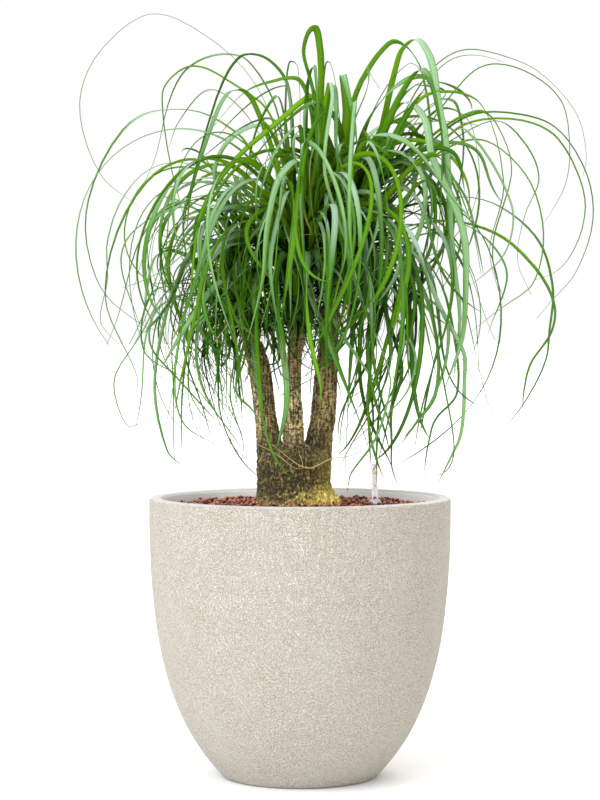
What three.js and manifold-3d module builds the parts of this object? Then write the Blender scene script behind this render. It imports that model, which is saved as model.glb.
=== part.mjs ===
// A potted ponytail palm: a round planter with a water gauge, soil under a dressing of clay
// granules, a swollen foot with three stems, and a crown of long arching leaves on each stem.
// Millimetres, +Z up. The origin is the middle of the planter's flat foot.

import * as THREE from 'three';
import { mergeVertices } from 'three/addons/utils/BufferGeometryUtils.js';
import Module from 'manifold-3d';

const wasm = await Module();
wasm.setup();

// Planter
const potHeight = 400;
const potRadius = 216;
const rimWidth = 19;
const rimRound = 5;
const footRadius = 106;
const footRound = 6;
const floorThickness = 22;
const potSides = 36;

// What fills it
const seatGap = 0.4;
const gritTop = 90;
const soilTop = 378;
const dressingAtWall = 384;
const dressingAtTrunk = 391;
const granuleBump = 2.8;
const granulesGap = 2.2;
const granulesAround = 60;
const granulesAcross = 7;
const trunkPlace = [-1.5, 0];
const rootHoleRadius = 63;
const rootHoleFloor = 300;

// Water gauge: shaft, sight tube and float, at their place in the planter
const gaugePlace = [108, 20];
const gaugeFoot = 50;
const shaftRadius = 9;
const shaftBore = 7.6;
const shaftFloor = 2;
const collarRadius = 11;
const collarTop = 395;
const collarDepth = 8.6;
const collarEdge = 2.1;
const tubeSocket = 4;
const tubeFit = 0.4;
const rodFit = 0.5;
const endGap = 0.3;
const tubeRadius = 4.6;
const tubeBore = 3.3;
const tubeTop = 446.5;
const floatRadius = 6.8;
const floatHeight = 60;
const rodRadius = 1;
const tipRadius = 2.2;
const tipLength = 6;
const tipTop = 399;
const gaugeSides = 12;

// Leaves
const leafKeel = 1.4;
const leadingSegments = 9;
const grownSegments = 7;
const lineSteps = 28;
const coreSides = 12;
const coreHeight = 96;
const coreLevels = [[0, 10.5], [12, 14.5], [34, 22], [58, 24], [80, 18], [coreHeight, 6]];
const goldenAngle = 137.508;
const crownClearance = 15;
const leafClearance = 7;
const packedSteps = 6;
const stemClearance = 9;
const coreClearance = 34;
const planterClearance = 12;
const gaugeClearance = 8;
const leafFloor = 424;
const trunkView = { left: -84, right: 78, top: 625 };
const foliage = { low: [-312, -320], high: [400, 320], top: 1065 };

const colours = {
  pot: 0xd8cfc1,
  grit: 0x8c857b,
  soil: 0x2c221b,
  granules: 0xa65f4c,
  trunk: 0x8a7350,
  leaf: 0x4f8f34,
  gaugeWhite: 0xe9e9e6,
  gaugeClear: 0xe4ecee,
  gaugeRed: 0xc23a24,
};

// ---------------------------------------------------------------- solids

/** The mesh of a manifold solid as a three.js geometry. */
function toGeometry(solid) {
  const { vertProperties, triVerts, numProp } = solid.getMesh();
  const positions = new Float32Array((vertProperties.length / numProp) * 3);
  for (let i = 0; i < positions.length / 3; i += 1) {
    positions.set(vertProperties.subarray(i * numProp, i * numProp + 3), i * 3);
  }
  const geometry = new THREE.BufferGeometry();
  geometry.setAttribute('position', new THREE.BufferAttribute(positions, 3));
  geometry.setIndex([...triVerts]);
  return geometry;
}

/** A closed geometry as a manifold solid. */
function toSolid(geometry) {
  const bare = geometry.clone();
  bare.deleteAttribute('normal');
  bare.deleteAttribute('uv');
  const merged = mergeVertices(bare, 1e-3);
  const corners = [...merged.index.array];
  const triVerts = [];
  for (let i = 0; i < corners.length; i += 3) {
    const [a, b, c] = corners.slice(i, i + 3);
    if (a !== b && b !== c && c !== a) {
      triVerts.push(a, b, c);
    }
  }
  return new wasm.Manifold(new wasm.Mesh({
    numProp: 3,
    vertProperties: new Float32Array(merged.attributes.position.array),
    triVerts: new Uint32Array(triVerts),
  }));
}

/** A closed skin over rings of equally many points, each ring counter-clockwise seen from its end. */
function loft(rings) {
  const sides = rings[0].length;
  const positions = rings.flat().flatMap((point) => [...point]);
  const index = [];
  for (let ring = 0; ring < rings.length - 1; ring += 1) {
    for (let side = 0; side < sides; side += 1) {
      const next = (side + 1) % sides;
      const a = ring * sides + side;
      const b = ring * sides + next;
      index.push(a, b, b + sides, a, b + sides, a + sides);
    }
  }
  const last = (rings.length - 1) * sides;
  for (let side = 1; side < sides - 1; side += 1) {
    index.push(0, side + 1, side, last, last + side, last + side + 1);
  }
  const geometry = new THREE.BufferGeometry();
  geometry.setAttribute('position', new THREE.Float32BufferAttribute(positions, 3));
  geometry.setIndex(index);
  return geometry;
}

/** A solid of revolution about a vertical axis, from [radius, height] points. */
function turned(profile, sides, place = [0, 0]) {
  const points = profile.map(([radius, height]) => new THREE.Vector2(radius, height));
  const geometry = new THREE.LatheGeometry(points, sides);
  geometry.rotateX(Math.PI / 2);
  geometry.translate(place[0], place[1], 0);
  return geometry;
}

/** A plain round plug, from one height to another, to cut a hole with. */
function plug(radius, low, high, place, sides = 24) {
  return toSolid(turned([[0, low], [radius, low], [radius, high], [0, high]], sides, place));
}

/** Points of a quarter round from one direction to another, in degrees. */
function arc(centre, radius, from, to, steps) {
  return Array.from({ length: steps + 1 }, (_, i) => {
    const angle = THREE.MathUtils.degToRad(from + ((to - from) * i) / steps);
    return [centre[0] + radius * Math.cos(angle), centre[1] + radius * Math.sin(angle)];
  });
}

/** Points of a wall's curve as [radius, height]. */
function wallCurve(start, first, second, end, steps) {
  const [a, b, c, d] = [start, first, second, end].map((p) => new THREE.Vector2(...p));
  return new THREE.CubicBezierCurve(a, b, c, d).getPoints(steps).map((p) => [p.x, p.y]);
}

/** The radius of a [radius, height] outline at a height. */
function radiusAt(outline, height) {
  const above = outline.findIndex((point) => point[1] >= height);
  if (above <= 0) {
    return outline[Math.max(above, 0)][0];
  }
  const [lowRadius, low] = outline[above - 1];
  const [highRadius, high] = outline[above];
  return THREE.MathUtils.mapLinear(height, low, high, lowRadius, highRadius);
}

// --------------------------------------------------------------- planter

const innerRim = potRadius - rimWidth;
const shoulder = potHeight - rimRound;
const outerFoot = [footRadius + footRound, 2];
const outerWall = wallCurve(outerFoot, [196, 87], [potRadius, 212], [potRadius, shoulder], 8);
const innerWall = wallCurve([98, floorThickness], [178, 98], [innerRim, 215], [innerRim, shoulder], 5);

function pot() {
  const profile = [
    [0, 0],
    [footRadius, 0],
    ...outerWall,
    ...arc([potRadius - rimRound, shoulder], rimRound, 30, 90, 2),
    ...arc([innerRim + rimRound, shoulder], rimRound, 90, 150, 2),
    ...innerWall.toReversed(),
    [0, floorThickness],
  ];
  return turned(profile, potSides);
}

/** A filling of the planter from one height to another, clear of its wall. */
function filling(low, high) {
  const between = innerWall.filter((point) => point[1] > low + 1 && point[1] < high - 1);
  const outline = [
    [radiusAt(innerWall, low), low],
    ...between,
    [radiusAt(innerWall, high), high],
  ].map(([radius, height]) => [radius - seatGap, height]);
  return toSolid(turned([[0, low], ...outline, [0, high]], potSides));
}

function drainageBed() {
  const bed = filling(floorThickness + seatGap, gritTop);
  return toGeometry(bed.subtract(plug(shaftRadius + 1, gaugeFoot, gritTop + 1, gaugePlace)));
}

function soil() {
  return toGeometry(
    filling(gritTop + seatGap, soilTop)
      .subtract(plug(rootHoleRadius, rootHoleFloor, soilTop + 1, trunkPlace, 32))
      .subtract(plug(shaftRadius + 1, gritTop - 1, soilTop + 1, gaugePlace)),
  );
}

/** A ring of clay granules, its top raised into rounded lumps. */
function granules() {
  const outer = innerRim - granulesGap;
  const inner = rootHoleRadius;
  const floor = soilTop + seatGap;
  const ring = (radius, height) => Array.from({ length: granulesAround }, (_, i) => {
    const angle = (i * Math.PI * 2) / granulesAround;
    return [
      trunkPlace[0] * (1 - (radius - inner) / (outer - inner)) + radius * Math.cos(angle),
      radius * Math.sin(angle),
      typeof height === 'function' ? height(i) : height,
    ];
  });
  const top = Array.from({ length: granulesAcross + 1 }, (_, k) => {
    const share = k / granulesAcross;
    const radius = THREE.MathUtils.lerp(inner, outer, share);
    const mound = THREE.MathUtils.lerp(dressingAtTrunk, dressingAtWall, Math.sqrt(share));
    const lump = (i) => granuleBump * Math.sin(i * 2.4 + k * 1.7) * Math.cos(i * 0.9 - k * 2.3);
    return ring(radius, (i) => mound + lump(i));
  });
  const rings = [ring(inner, floor), ring(outer, floor), ...top.toReversed(), ring(inner, floor)];
  const geometry = skinOfRings(rings);
  const collarHole = plug(collarRadius + seatGap, floor - 1, tubeTop, gaugePlace);
  return toGeometry(toSolid(geometry).subtract(collarHole));
}

/** A skin over rings that come back to the first one. */
function skinOfRings(rings) {
  const sides = rings[0].length;
  const positions = rings.slice(0, -1).flat().flat();
  const count = rings.length - 1;
  const index = [];
  for (let ring = 0; ring < count; ring += 1) {
    for (let side = 0; side < sides; side += 1) {
      const next = (side + 1) % sides;
      const a = ring * sides + side;
      const b = ring * sides + next;
      const c = ((ring + 1) % count) * sides + next;
      const d = ((ring + 1) % count) * sides + side;
      index.push(a, b, c, a, c, d);
    }
  }
  const geometry = new THREE.BufferGeometry();
  geometry.setAttribute('position', new THREE.Float32BufferAttribute(positions, 3));
  geometry.setIndex(index);
  return geometry;
}

// ----------------------------------------------------------------- trunk

// Each row is a level of the wood: height, x, y and radius.
const footLevels = [
  [rootHoleFloor + seatGap, -1.5, 0, 50],
  [318, -1.5, 0, 58],
  [345, -1.5, 0, 60],
  [391, -1.5, 0, 60.8],
  [399, -3, 0, 58],
  [409, -6.5, 0, 53.5],
  [424, -8.6, 0, 51],
  [445, -8.4, 0, 52.5],
  [458, -8, 0, 50],
  [468, -8, 0, 42],
  [476, -8, 0, 28],
];
const stemLevels = {
  left: [
    [440, -38, 7, 21],
    [467, -43, 8, 19],
    [490, -46, 9, 17],
    [510, -49, 10, 15.6],
    [545, -53, 12, 15.6],
    [582, -58, 15, 16],
    [607, -64, 17, 15.5],
    [622, -68, 18, 14],
  ],
  middle: [
    [440, -9, -15, 20],
    [467, -9, -18, 17],
    [490, -9.5, -17, 15],
    [510, -9.7, -17, 14.3],
    [557, -9, -16, 10.6],
    [600, -7.5, -15, 10.6],
    [618, -5.5, -14.5, 12],
    [626, -4, -14, 13],
  ],
  right: [
    [440, 20, 8, 24],
    [467, 25, 9, 21],
    [490, 29, 9, 18.5],
    [510, 33, 9, 17.8],
    [557, 36, 10, 16.8],
    [610, 40, 11, 14.2],
    [650, 42, 11, 13.5],
    [682, 46, 12, 13.4],
    [697, 51, 12, 14],
  ],
};

/** Wood lofted over its levels, fluted by the corky ridges of the bark. */
function wood(levels, sides, flutes, depth) {
  const rings = levels.map(([height, x, y, radius]) => Array.from({ length: sides }, (_, i) => {
    const angle = (i * Math.PI * 2) / sides;
    const ridge = height > dressingAtTrunk ? 1 + depth * Math.sin(flutes * angle + height * 0.07) : 1;
    return [x + radius * ridge * Math.cos(angle), y + radius * ridge * Math.sin(angle), height];
  }));
  return toSolid(loft(rings));
}

function trunk() {
  const foot = wood(footLevels, 36, 11, 0.035);
  const stems = Object.values(stemLevels).map((levels) => wood(levels, 14, 5, 0.07));
  return toGeometry(stems.reduce((whole, stem) => whole.add(stem), foot));
}

// ----------------------------------------------------------- water gauge

function gaugeShaft() {
  const foot = gaugeFoot + seatGap;
  const wallFoot = gaugeFoot + shaftFloor;
  const collarFoot = collarTop - collarDepth;
  const guide = tipRadius + rodFit;
  const socket = tubeRadius + tubeFit;
  const shell = [
    [guide, foot],
    [shaftRadius, foot],
    [shaftRadius, collarFoot - tubeFit],
    [collarRadius, collarFoot],
    [collarRadius, collarFoot + collarEdge],
    [socket + 1.8, collarTop],
    [socket, collarTop],
    [socket, collarTop - tubeSocket],
    [guide, collarTop - tubeSocket],
    [guide, collarFoot - tubeFit],
    [shaftBore, collarFoot - tubeSocket + tubeFit],
    [shaftBore, wallFoot],
    [guide, wallFoot],
    [guide, foot],
  ];
  return turned(shell, gaugeSides, gaugePlace);
}

function gaugeTube() {
  const low = collarTop - tubeSocket + endGap;
  const wall = tubeRadius - tubeBore;
  const profile = [
    [tubeBore, low],
    [tubeRadius, low],
    [tubeRadius, tubeTop - wall],
    [tubeRadius - wall, tubeTop],
    [0, tubeTop],
    [0, tubeTop - wall],
    [tubeBore, tubeTop - wall],
    [tubeBore, low],
  ];
  return turned(profile, gaugeSides, gaugePlace);
}

function gaugeFloat() {
  const low = gaugeFoot + shaftFloor + endGap;
  const edge = floatRadius - tubeRadius;
  const profile = [
    [0, low],
    [floatRadius - edge, low],
    [floatRadius, low + edge],
    [floatRadius, low + floatHeight - edge],
    [rodRadius, low + floatHeight],
    [rodRadius, tipTop - tipLength],
    [tipRadius, tipTop - tipLength + rodRadius],
    [tipRadius, tipTop - rodRadius],
    [0, tipTop],
  ];
  return turned(profile, gaugeSides, gaugePlace);
}

// ---------------------------------------------------------------- leaves

// A crown stands on its stem's cut top and leans with it, in mm sideways for each mm up.
const crowns = {
  left: { base: [-68, 18, 622.3], lean: [-0.2, 0.1], seed: 11 },
  middle: { base: [-4, -14, 626.3], lean: [0.04, -0.1], seed: 23 },
  right: { base: [51, 12, 697.3], lean: [0.24, 0], seed: 37 },
};
const grownLeaves = 18;
const growthAttempts = 14;
const depthShifts = [0, 16, -16, 32, -32, 48, -48, 64, -64, 80, -80];

// The leaves that give the plant its outline. Each has its crown, how far back its tip lies,
// its width, and the [x, z] points that it passes on its way from the crown to its tip.
const leadingLeaves = [
  ['middle', 60, 5, [-25, 880], [-60, 985], [-125, 1055], [-215, 1095], [-295, 1035], [-320, 960],
    [-290, 865], [-230, 815]],
  ['middle', 40, 7, [-70, 895], [-130, 945], [-185, 955], [-240, 940], [-290, 870], [-310, 785],
    [-285, 695], [-225, 645], [-195, 635]],
  ['middle', 20, 9, [-10, 895], [-20, 995], [-55, 1030], [-85, 1030], [-110, 995], [-130, 940],
    [-150, 870], [-165, 805], [-170, 740]],
  ['middle', 60, 7, [-30, 940], [-75, 1025], [-120, 1035], [-165, 1015], [-190, 970], [-210, 890],
    [-230, 845]],
  ['middle', 80, 6, [-40, 940], [-100, 995], [-155, 1020], [-195, 995], [-200, 960], [-190, 885],
    [-170, 805], [-160, 765]],
  ['middle', -60, 10, [20, 910], [0, 990], [-50, 985], [-80, 970], [-120, 925]],
  ['middle', -110, 10, [30, 880], [20, 965], [-35, 925], [-90, 875], [-135, 805], [-150, 710],
    [-155, 625]],
  ['middle', -90, 10, [25, 880], [30, 1015], [20, 1064], [5, 1030], [20, 965], [25, 880], [25, 780]],
  ['middle', 60, 7, [-20, 895], [-20, 985], [-15, 1025], [-5, 1025], [0, 985], [0, 925]],
  ['right', 60, 7, [60, 895], [50, 1000], [40, 1030], [35, 1005], [30, 940], [25, 870]],
  ['left', 40, 8, [-100, 840], [-165, 880], [-220, 870], [-260, 825], [-280, 765], [-280, 710],
    [-290, 650], [-260, 615]],
  ['left', -20, 9, [-85, 810], [-140, 880], [-195, 870], [-240, 820], [-270, 745], [-275, 675],
    [-250, 615], [-230, 570], [-235, 540]],
  ['left', 10, 7, [-90, 725], [-140, 725], [-195, 690], [-230, 630], [-265, 575], [-265, 540],
    [-245, 500], [-215, 515]],
  ['left', -60, 7, [-105, 755], [-165, 725], [-195, 640], [-205, 550], [-185, 465], [-160, 445]],
  ['left', 60, 6, [-90, 760], [-150, 740], [-185, 640], [-185, 550], [-185, 465], [-180, 420]],
  ['left', -90, 7, [-90, 740], [-140, 715], [-170, 625], [-175, 550], [-160, 505], [-120, 480]],
  ['left', 50, 6, [-100, 710], [-140, 680], [-160, 595], [-160, 550], [-145, 520], [-130, 505],
    [-110, 500]],
  ['middle', -120, 12, [5, 755], [5, 870], [-30, 840], [-40, 780], [-55, 695], [-60, 640],
    [-55, 565], [-50, 500]],
  ['middle', -80, 8, [25, 780], [10, 840], [20, 775], [30, 695], [50, 645], [95, 580], [120, 540]],
  ['middle', -120, 10, [-5, 710], [0, 735], [15, 685], [35, 635], [60, 570], [85, 505], [95, 475]],
  ['middle', -130, 12, [25, 765], [20, 840], [40, 825], [60, 775], [85, 680], [115, 605],
    [125, 565], [105, 490], [70, 440], [65, 415]],
  ['right', -90, 13, [80, 790], [105, 805], [130, 780], [170, 735], [195, 675], [210, 645],
    [230, 605], [230, 575], [225, 495], [205, 450], [190, 420]],
  ['right', -20, 12, [65, 855], [75, 960], [100, 1015], [135, 1050], [165, 1025], [180, 975],
    [190, 895], [200, 840], [195, 755], [185, 680]],
  ['right', -60, 12, [110, 895], [135, 1005], [150, 1045], [165, 1050], [185, 1020], [195, 955],
    [205, 910], [210, 825], [215, 740], [225, 655], [215, 565]],
  ['right', -100, 12, [105, 885], [125, 935], [150, 960], [175, 935], [185, 880], [215, 815],
    [230, 760], [230, 680], [225, 625], [200, 555]],
  ['right', 80, 5, [145, 925], [195, 1010], [225, 1035], [260, 1040], [300, 1030]],
  ['right', 90, 5, [145, 940], [190, 1015], [235, 1045], [290, 1040], [350, 1015], [405, 955],
    [420, 895], [415, 865]],
  ['right', 50, 5, [160, 895], [220, 980], [265, 1020], [320, 1015], [375, 975], [390, 920],
    [385, 850], [345, 780]],
  ['right', 10, 7, [175, 895], [240, 945], [300, 950], [365, 930], [410, 865], [420, 795],
    [395, 720], [360, 680], [340, 655]],
  ['right', -10, 7, [175, 870], [230, 930], [305, 940], [365, 915], [405, 835], [400, 775],
    [370, 725], [335, 710]],
  ['right', 40, 8, [175, 880], [215, 910], [285, 940], [330, 900], [345, 855], [325, 805],
    [315, 740], [335, 690]],
  ['right', -40, 7, [175, 875], [255, 910], [320, 860], [345, 780], [330, 705], [285, 670],
    [240, 635]],
  ['right', 30, 7, [160, 805], [230, 830], [290, 815], [345, 765], [365, 695], [360, 640],
    [355, 595], [325, 535], [290, 490]],
  ['right', -50, 9, [145, 775], [200, 795], [280, 775], [335, 725], [360, 675], [355, 635],
    [325, 590], [315, 545], [315, 520]],
  ['right', -30, 8, [145, 870], [200, 925], [260, 950], [290, 910], [300, 860], [275, 770],
    [275, 725], [290, 680]],
  ['right', 40, 9, [130, 880], [185, 960], [220, 970], [235, 925], [235, 880], [225, 815],
    [220, 740]],
  ['right', 0, 9, [145, 895], [200, 955], [240, 940], [255, 885], [255, 840], [245, 805],
    [230, 755]],
  ['right', -40, 10, [145, 840], [205, 860], [235, 825], [250, 765], [260, 715]],
  ['right', -60, 7, [145, 765], [200, 775], [240, 730], [255, 665], [245, 610], [215, 580],
    [200, 575]],
  ['right', -60, 8, [130, 755], [175, 695], [195, 610], [190, 545], [165, 510], [140, 475]],
  ['right', 20, 7, [145, 765], [200, 710], [225, 610], [225, 545], [195, 510], [185, 475],
    [180, 440], [182, 420]],
  ['right', -40, 9, [110, 695], [130, 640], [145, 580], [130, 525], [130, 480], [130, 445],
    [140, 415]],
  ['middle', -70, 11, [-25, 725], [-40, 705], [-30, 640], [-20, 580], [-20, 525], [-35, 465]],
  ['middle', -40, 12, [-5, 740], [-10, 840], [-5, 875], [10, 855], [20, 780]],
  ['left', -75, 8, [-70, 695], [-70, 655], [-60, 565], [-50, 505], [-35, 460], [-10, 430]],
  ['left', -90, 6, [-85, 725], [-110, 665], [-115, 580], [-110, 515], [-80, 455], [-40, 420]],
];

// The leaves in front of the hearts, in the same form.
const nearLeaves = [
  ['middle', -210, 11, [0, 780], [5, 850], [-5, 870], [-30, 840], [-45, 770], [-50, 705], [-70, 625]],
  ['middle', -190, 9.5, [0, 750], [-5, 805], [-15, 830], [-30, 790], [-40, 730], [-35, 675], [-20, 600]],
  ['middle', -130, 9, [5, 795], [10, 975], [20, 1005], [25, 915], [25, 885], [15, 835]],
  ['middle', -170, 8, [10, 780], [40, 980], [45, 960], [35, 895], [35, 845], [65, 750], [90, 660]],
  ['middle', -110, 10.5, [15, 795], [45, 980], [50, 960], [50, 890], [60, 820]],
  ['right', -90, 13, [50, 805], [65, 940], [60, 995], [75, 930], [80, 890]],
  ['middle', -170, 7.5, [15, 750], [10, 880], [0, 855], [5, 745], [10, 645]],
  ['middle', -60, 11, [-5, 690], [-5, 825]],
  ['middle', -50, 9, [5, 695], [5, 790]],
  ['middle', -50, 7.5, [-10, 825], [-15, 980], [-45, 975], [-90, 940], [-120, 905]],
  ['middle', -140, 9.5, [-20, 825], [-70, 965], [-100, 965], [-130, 895], [-150, 825], [-155, 770]],
  ['middle', -120, 8, [10, 795], [30, 950], [10, 950], [-35, 910], [-85, 850]],
  ['middle', -150, 8.5, [0, 795], [0, 920], [-30, 890], [-50, 840], [-60, 790]],
  ['middle', -80, 7, [-10, 825], [-30, 965], [-60, 920], [-80, 830]],
  ['middle', 10, 7.5, [-15, 825], [-35, 935], [-75, 930], [-150, 875]],
  ['middle', 40, 6.5, [-25, 840], [-75, 945], [-130, 985], [-175, 940], [-190, 900]],
  ['middle', -190, 9.5, [-20, 785], [-60, 815], [-95, 795], [-110, 715], [-115, 620]],
  ['middle', -170, 9, [-35, 795], [-85, 840], [-120, 795], [-135, 695], [-140, 610]],
  ['left', -190, 10.5, [-80, 695], [-110, 705], [-145, 660], [-190, 585]],
  ['left', -60, 12, [-70, 695], [-80, 790]],
  ['left', -40, 9, [-65, 695], [-70, 770]],
  ['left', -90, 8, [-80, 680], [-90, 735], [-85, 665], [-75, 610]],
  ['middle', -30, 4.5, [-55, 825], [-130, 845], [-205, 780], [-240, 685]],
  ['middle', 20, 6.5, [-55, 805], [-125, 815], [-175, 765], [-195, 700]],
  ['middle', -80, 4.5, [-65, 815], [-150, 825], [-235, 775], [-250, 730], [-220, 635]],
  ['left', -70, 8, [-105, 705], [-175, 750], [-205, 740], [-220, 660]],
  ['left', -20, 6, [-120, 725], [-200, 785], [-215, 740], [-200, 675]],
  ['left', -110, 5.5, [-110, 680], [-195, 675], [-210, 620], [-165, 565], [-110, 505]],
  ['left', -60, 4.5, [-120, 690], [-205, 695], [-220, 610], [-150, 565]],
  ['left', -130, 6, [-95, 665], [-140, 645], [-135, 560], [-80, 475]],
  ['left', -110, 6, [-70, 655], [-90, 555], [-65, 525], [-55, 505]],
  ['right', -40, 11, [65, 775], [100, 940], [155, 1015], [190, 975]],
  ['right', -110, 12, [70, 775], [130, 945], [170, 1000], [195, 920], [195, 815]],
  ['right', -70, 12.5, [70, 765], [130, 905], [170, 970], [180, 965]],
  ['right', -20, 11, [70, 760], [125, 895], [160, 940]],
  ['right', -120, 10, [80, 765], [145, 855], [190, 880], [235, 790], [250, 715]],
  ['right', 40, 9, [75, 770], [125, 930], [160, 960], [170, 950]],
  ['right', -170, 8.5, [75, 750], [105, 800], [135, 750], [140, 650], [120, 515]],
  ['right', -80, 6.5, [105, 825], [170, 965], [250, 960], [285, 845], [265, 750], [280, 685]],
  ['right', -90, 5.5, [115, 825], [190, 895], [230, 920], [295, 815], [285, 745], [230, 695]],
  ['right', -150, 7, [120, 790], [175, 845], [205, 770], [215, 715]],
  ['right', -60, 5.5, [100, 770], [225, 790], [290, 725], [265, 635]],
  ['right', -110, 6.5, [130, 705], [200, 665], [205, 605], [180, 535], [140, 485]],
  ['right', -120, 5.5, [100, 705], [160, 610], [150, 555], [115, 515]],
  ['right', -100, 7.5, [80, 715], [130, 695], [145, 630], [135, 585]],
  ['right', -50, 7, [85, 740], [155, 700], [195, 615]],
];

/** Seeded draws from 0 to 1. */
function draws(seed) {
  let state = seed;
  return () => {
    state = (1664525 * state + 1013904223) % 4294967296;
    return state / 4294967296;
  };
}

/** Where a leaf leaves the crown's axis. */
function leafRoot(crown, rise) {
  const [x, y, z] = crown.base;
  return new THREE.Vector3(x + crown.lean[0] * rise, y + crown.lean[1] * rise, z + rise);
}

/** Evenly spaced points on a smooth curve through the given ones. */
function smoothLine(through, steps) {
  const reach = [0];
  through.slice(1).forEach((point, i) => reach.push(reach[i] + point.distanceTo(through[i])));
  const total = reach.at(-1);
  const slope = (k) => {
    const before = Math.max(k - 1, 0);
    const after = Math.min(k + 1, through.length - 1);
    return through[after].clone().sub(through[before]).divideScalar(reach[after] - reach[before]);
  };
  return Array.from({ length: steps + 1 }, (_, i) => {
    const along = (total * i) / steps;
    const k = Math.min(Math.max(reach.findLastIndex((r) => r <= along), 0), through.length - 2);
    const span = reach[k + 1] - reach[k];
    const u = (along - reach[k]) / span;
    const start = through[k].clone().multiplyScalar(2 * u ** 3 - 3 * u ** 2 + 1);
    const end = through[k + 1].clone().multiplyScalar(3 * u ** 2 - 2 * u ** 3);
    const leave = slope(k).multiplyScalar(span * (u ** 3 - 2 * u ** 2 + u));
    const arrive = slope(k + 1).multiplyScalar(span * (u ** 3 - u ** 2));
    return start.add(end).add(leave).add(arrive);
  });
}

/** The midline of a leading leaf whose tip lies at the given depth. */
function leadingLine(crown, rise, depth, way) {
  const root = leafRoot(crown, rise);
  const through = way.map(([x, z], i) => {
    const spread = Math.sin((Math.PI / 2) * ((i + 1) / way.length));
    return new THREE.Vector3(x, root.y + (depth - root.y) * spread, z);
  });
  return smoothLine([root, ...through], lineSteps);
}

/** The midline of a leaf that grows out at a bearing, arches over, hangs and curls. */
function grownLine(crown, age, bearing, draw) {
  const degrees = Math.PI / 180;
  const launch = (84 - 72 * age + 12 * (draw() - 0.5)) * degrees;
  const hang = (-96 + 50 * (draw() - 0.5)) * degrees;
  const length = (690 - 300 * age) * (0.55 + 0.5 * draw());
  const bend = (0.56 - 0.26 * age) * (0.8 + 0.35 * draw());
  const swing = 130 * (draw() - 0.5) * degrees;
  const floor = leafFloor + 210 * draw();
  const curl = 150 * (draw() - 0.5) * degrees;
  const root = leafRoot(crown, 70 - 52 * age);
  const line = [root];
  for (let i = 0; i < lineSteps; i += 1) {
    const t = (i + 0.5) / lineSteps;
    const arch = launch - (launch - hang) * (1 - Math.exp(-((t / bend) ** 2.4)));
    const rise = arch + curl * (Math.max(t - 0.55, 0) / 0.45) ** 1.5;
    const turn = bearing * degrees + swing * t * t;
    const step = new THREE.Vector3(
      Math.cos(rise) * Math.cos(turn),
      Math.cos(rise) * Math.sin(turn),
      Math.sin(rise),
    );
    line.push(line[i].clone().addScaledVector(step, length / lineSteps));
  }
  const lowest = Math.min(...line.map((point) => point.z));
  const fit = lowest < floor ? (root.z - floor) / (root.z - lowest) : 1;
  return line.map((point) => point.clone().sub(root).multiplyScalar(fit).add(root));
}

/** The centre and radius of a stem at a height, or nothing outside it. */
function stemAt(levels, height) {
  const above = levels.findIndex((level) => level[0] >= height);
  if (above < 1) {
    return null;
  }
  const share = (height - levels[above - 1][0]) / (levels[above][0] - levels[above - 1][0]);
  return levels[above].map((value, i) => THREE.MathUtils.lerp(levels[above - 1][i], value, share));
}

/** Whether a midline stays in the space that the foliage fills, and leaves the trunk in view. */
function isInside(line) {
  return line.every(({ x, y, z }) => z < foliage.top
    && x > foliage.low[0] && y > foliage.low[1] && x < foliage.high[0] && y < foliage.high[1]
    && !(x > trunkView.left && x < trunkView.right && z < trunkView.top));
}

/** Whether a midline keeps clear of the wood, the planter, the gauge and the other leaves. */
function isClear(line, name, grown, spacing) {
  return line.every((point, i) => {
    const outwards = Math.hypot(point.x, point.y);
    if (point.z < potHeight + planterClearance && outwards < potRadius + planterClearance) {
      return false;
    }
    const fromGauge = Math.hypot(point.x - gaugePlace[0], point.y - gaugePlace[1]);
    if (point.z < tubeTop + gaugeClearance && fromGauge < shaftRadius + gaugeClearance) {
      return false;
    }
    const wooden = [footLevels, ...Object.values(stemLevels)].every((levels) => {
      const at = stemAt(levels, point.z);
      return !at || Math.hypot(point.x - at[1], point.y - at[2]) > at[3] + stemClearance;
    });
    const coresClear = Object.entries(crowns).every(([other, crown]) => {
      const rise = THREE.MathUtils.clamp(point.z - crown.base[2], 0, coreHeight);
      return other === name || leafRoot(crown, rise).distanceTo(point) > coreClearance;
    });
    const leavesClear = i < 2 || grown.every((leaf) => {
      if (leaf.crown !== name) {
        return leaf.line.every((near) => near.distanceTo(point) > crownClearance);
      }
      const free = leaf.line.slice(packedSteps);
      return i < packedSteps || free.every((near) => near.distanceTo(point) > spacing);
    });
    return wooden && coresClear && leavesClear;
  });
}

/** Every leaf as its crown, midline and width. What would cross another crown is bent clear. */
function growLeaves() {
  const grown = [];
  const counts = { left: 0, middle: 0, right: 0 };
  [...leadingLeaves, ...nearLeaves].forEach(([name, depth, width, ...way]) => {
    const rise = 22 + 44 * ((counts[name] * 0.618) % 1);
    const lines = depthShifts.map((shift) => leadingLine(crowns[name], rise, depth + shift, way));
    const line = lines.find((candidate) => isClear(candidate, name, grown, 0)) ?? lines[0];
    counts[name] += 1;
    grown.push({ crown: name, line, width, segments: Math.min(way.length + 3, leadingSegments) });
  });
  const seeded = Object.entries(crowns).map(([name, crown]) => [name, draws(crown.seed)]);
  const random = Object.fromEntries(seeded);
  for (let n = 0; n < grownLeaves; n += 1) {
    Object.keys(crowns).forEach((name) => {
      const draw = random[name];
      for (let attempt = 0; attempt < growthAttempts; attempt += 1) {
        const age = (n + draw()) / grownLeaves;
        const bearing = n * goldenAngle + 360 * attempt * draw();
        const line = grownLine(crowns[name], age, bearing, draw);
        const width = 7 + 4 * draw();
        if (isInside(line) && isClear(line, name, grown, leafClearance)) {
          grown.push({ crown: name, line, width, segments: grownSegments });
          break;
        }
      }
    });
  }
  return grown;
}

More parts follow.
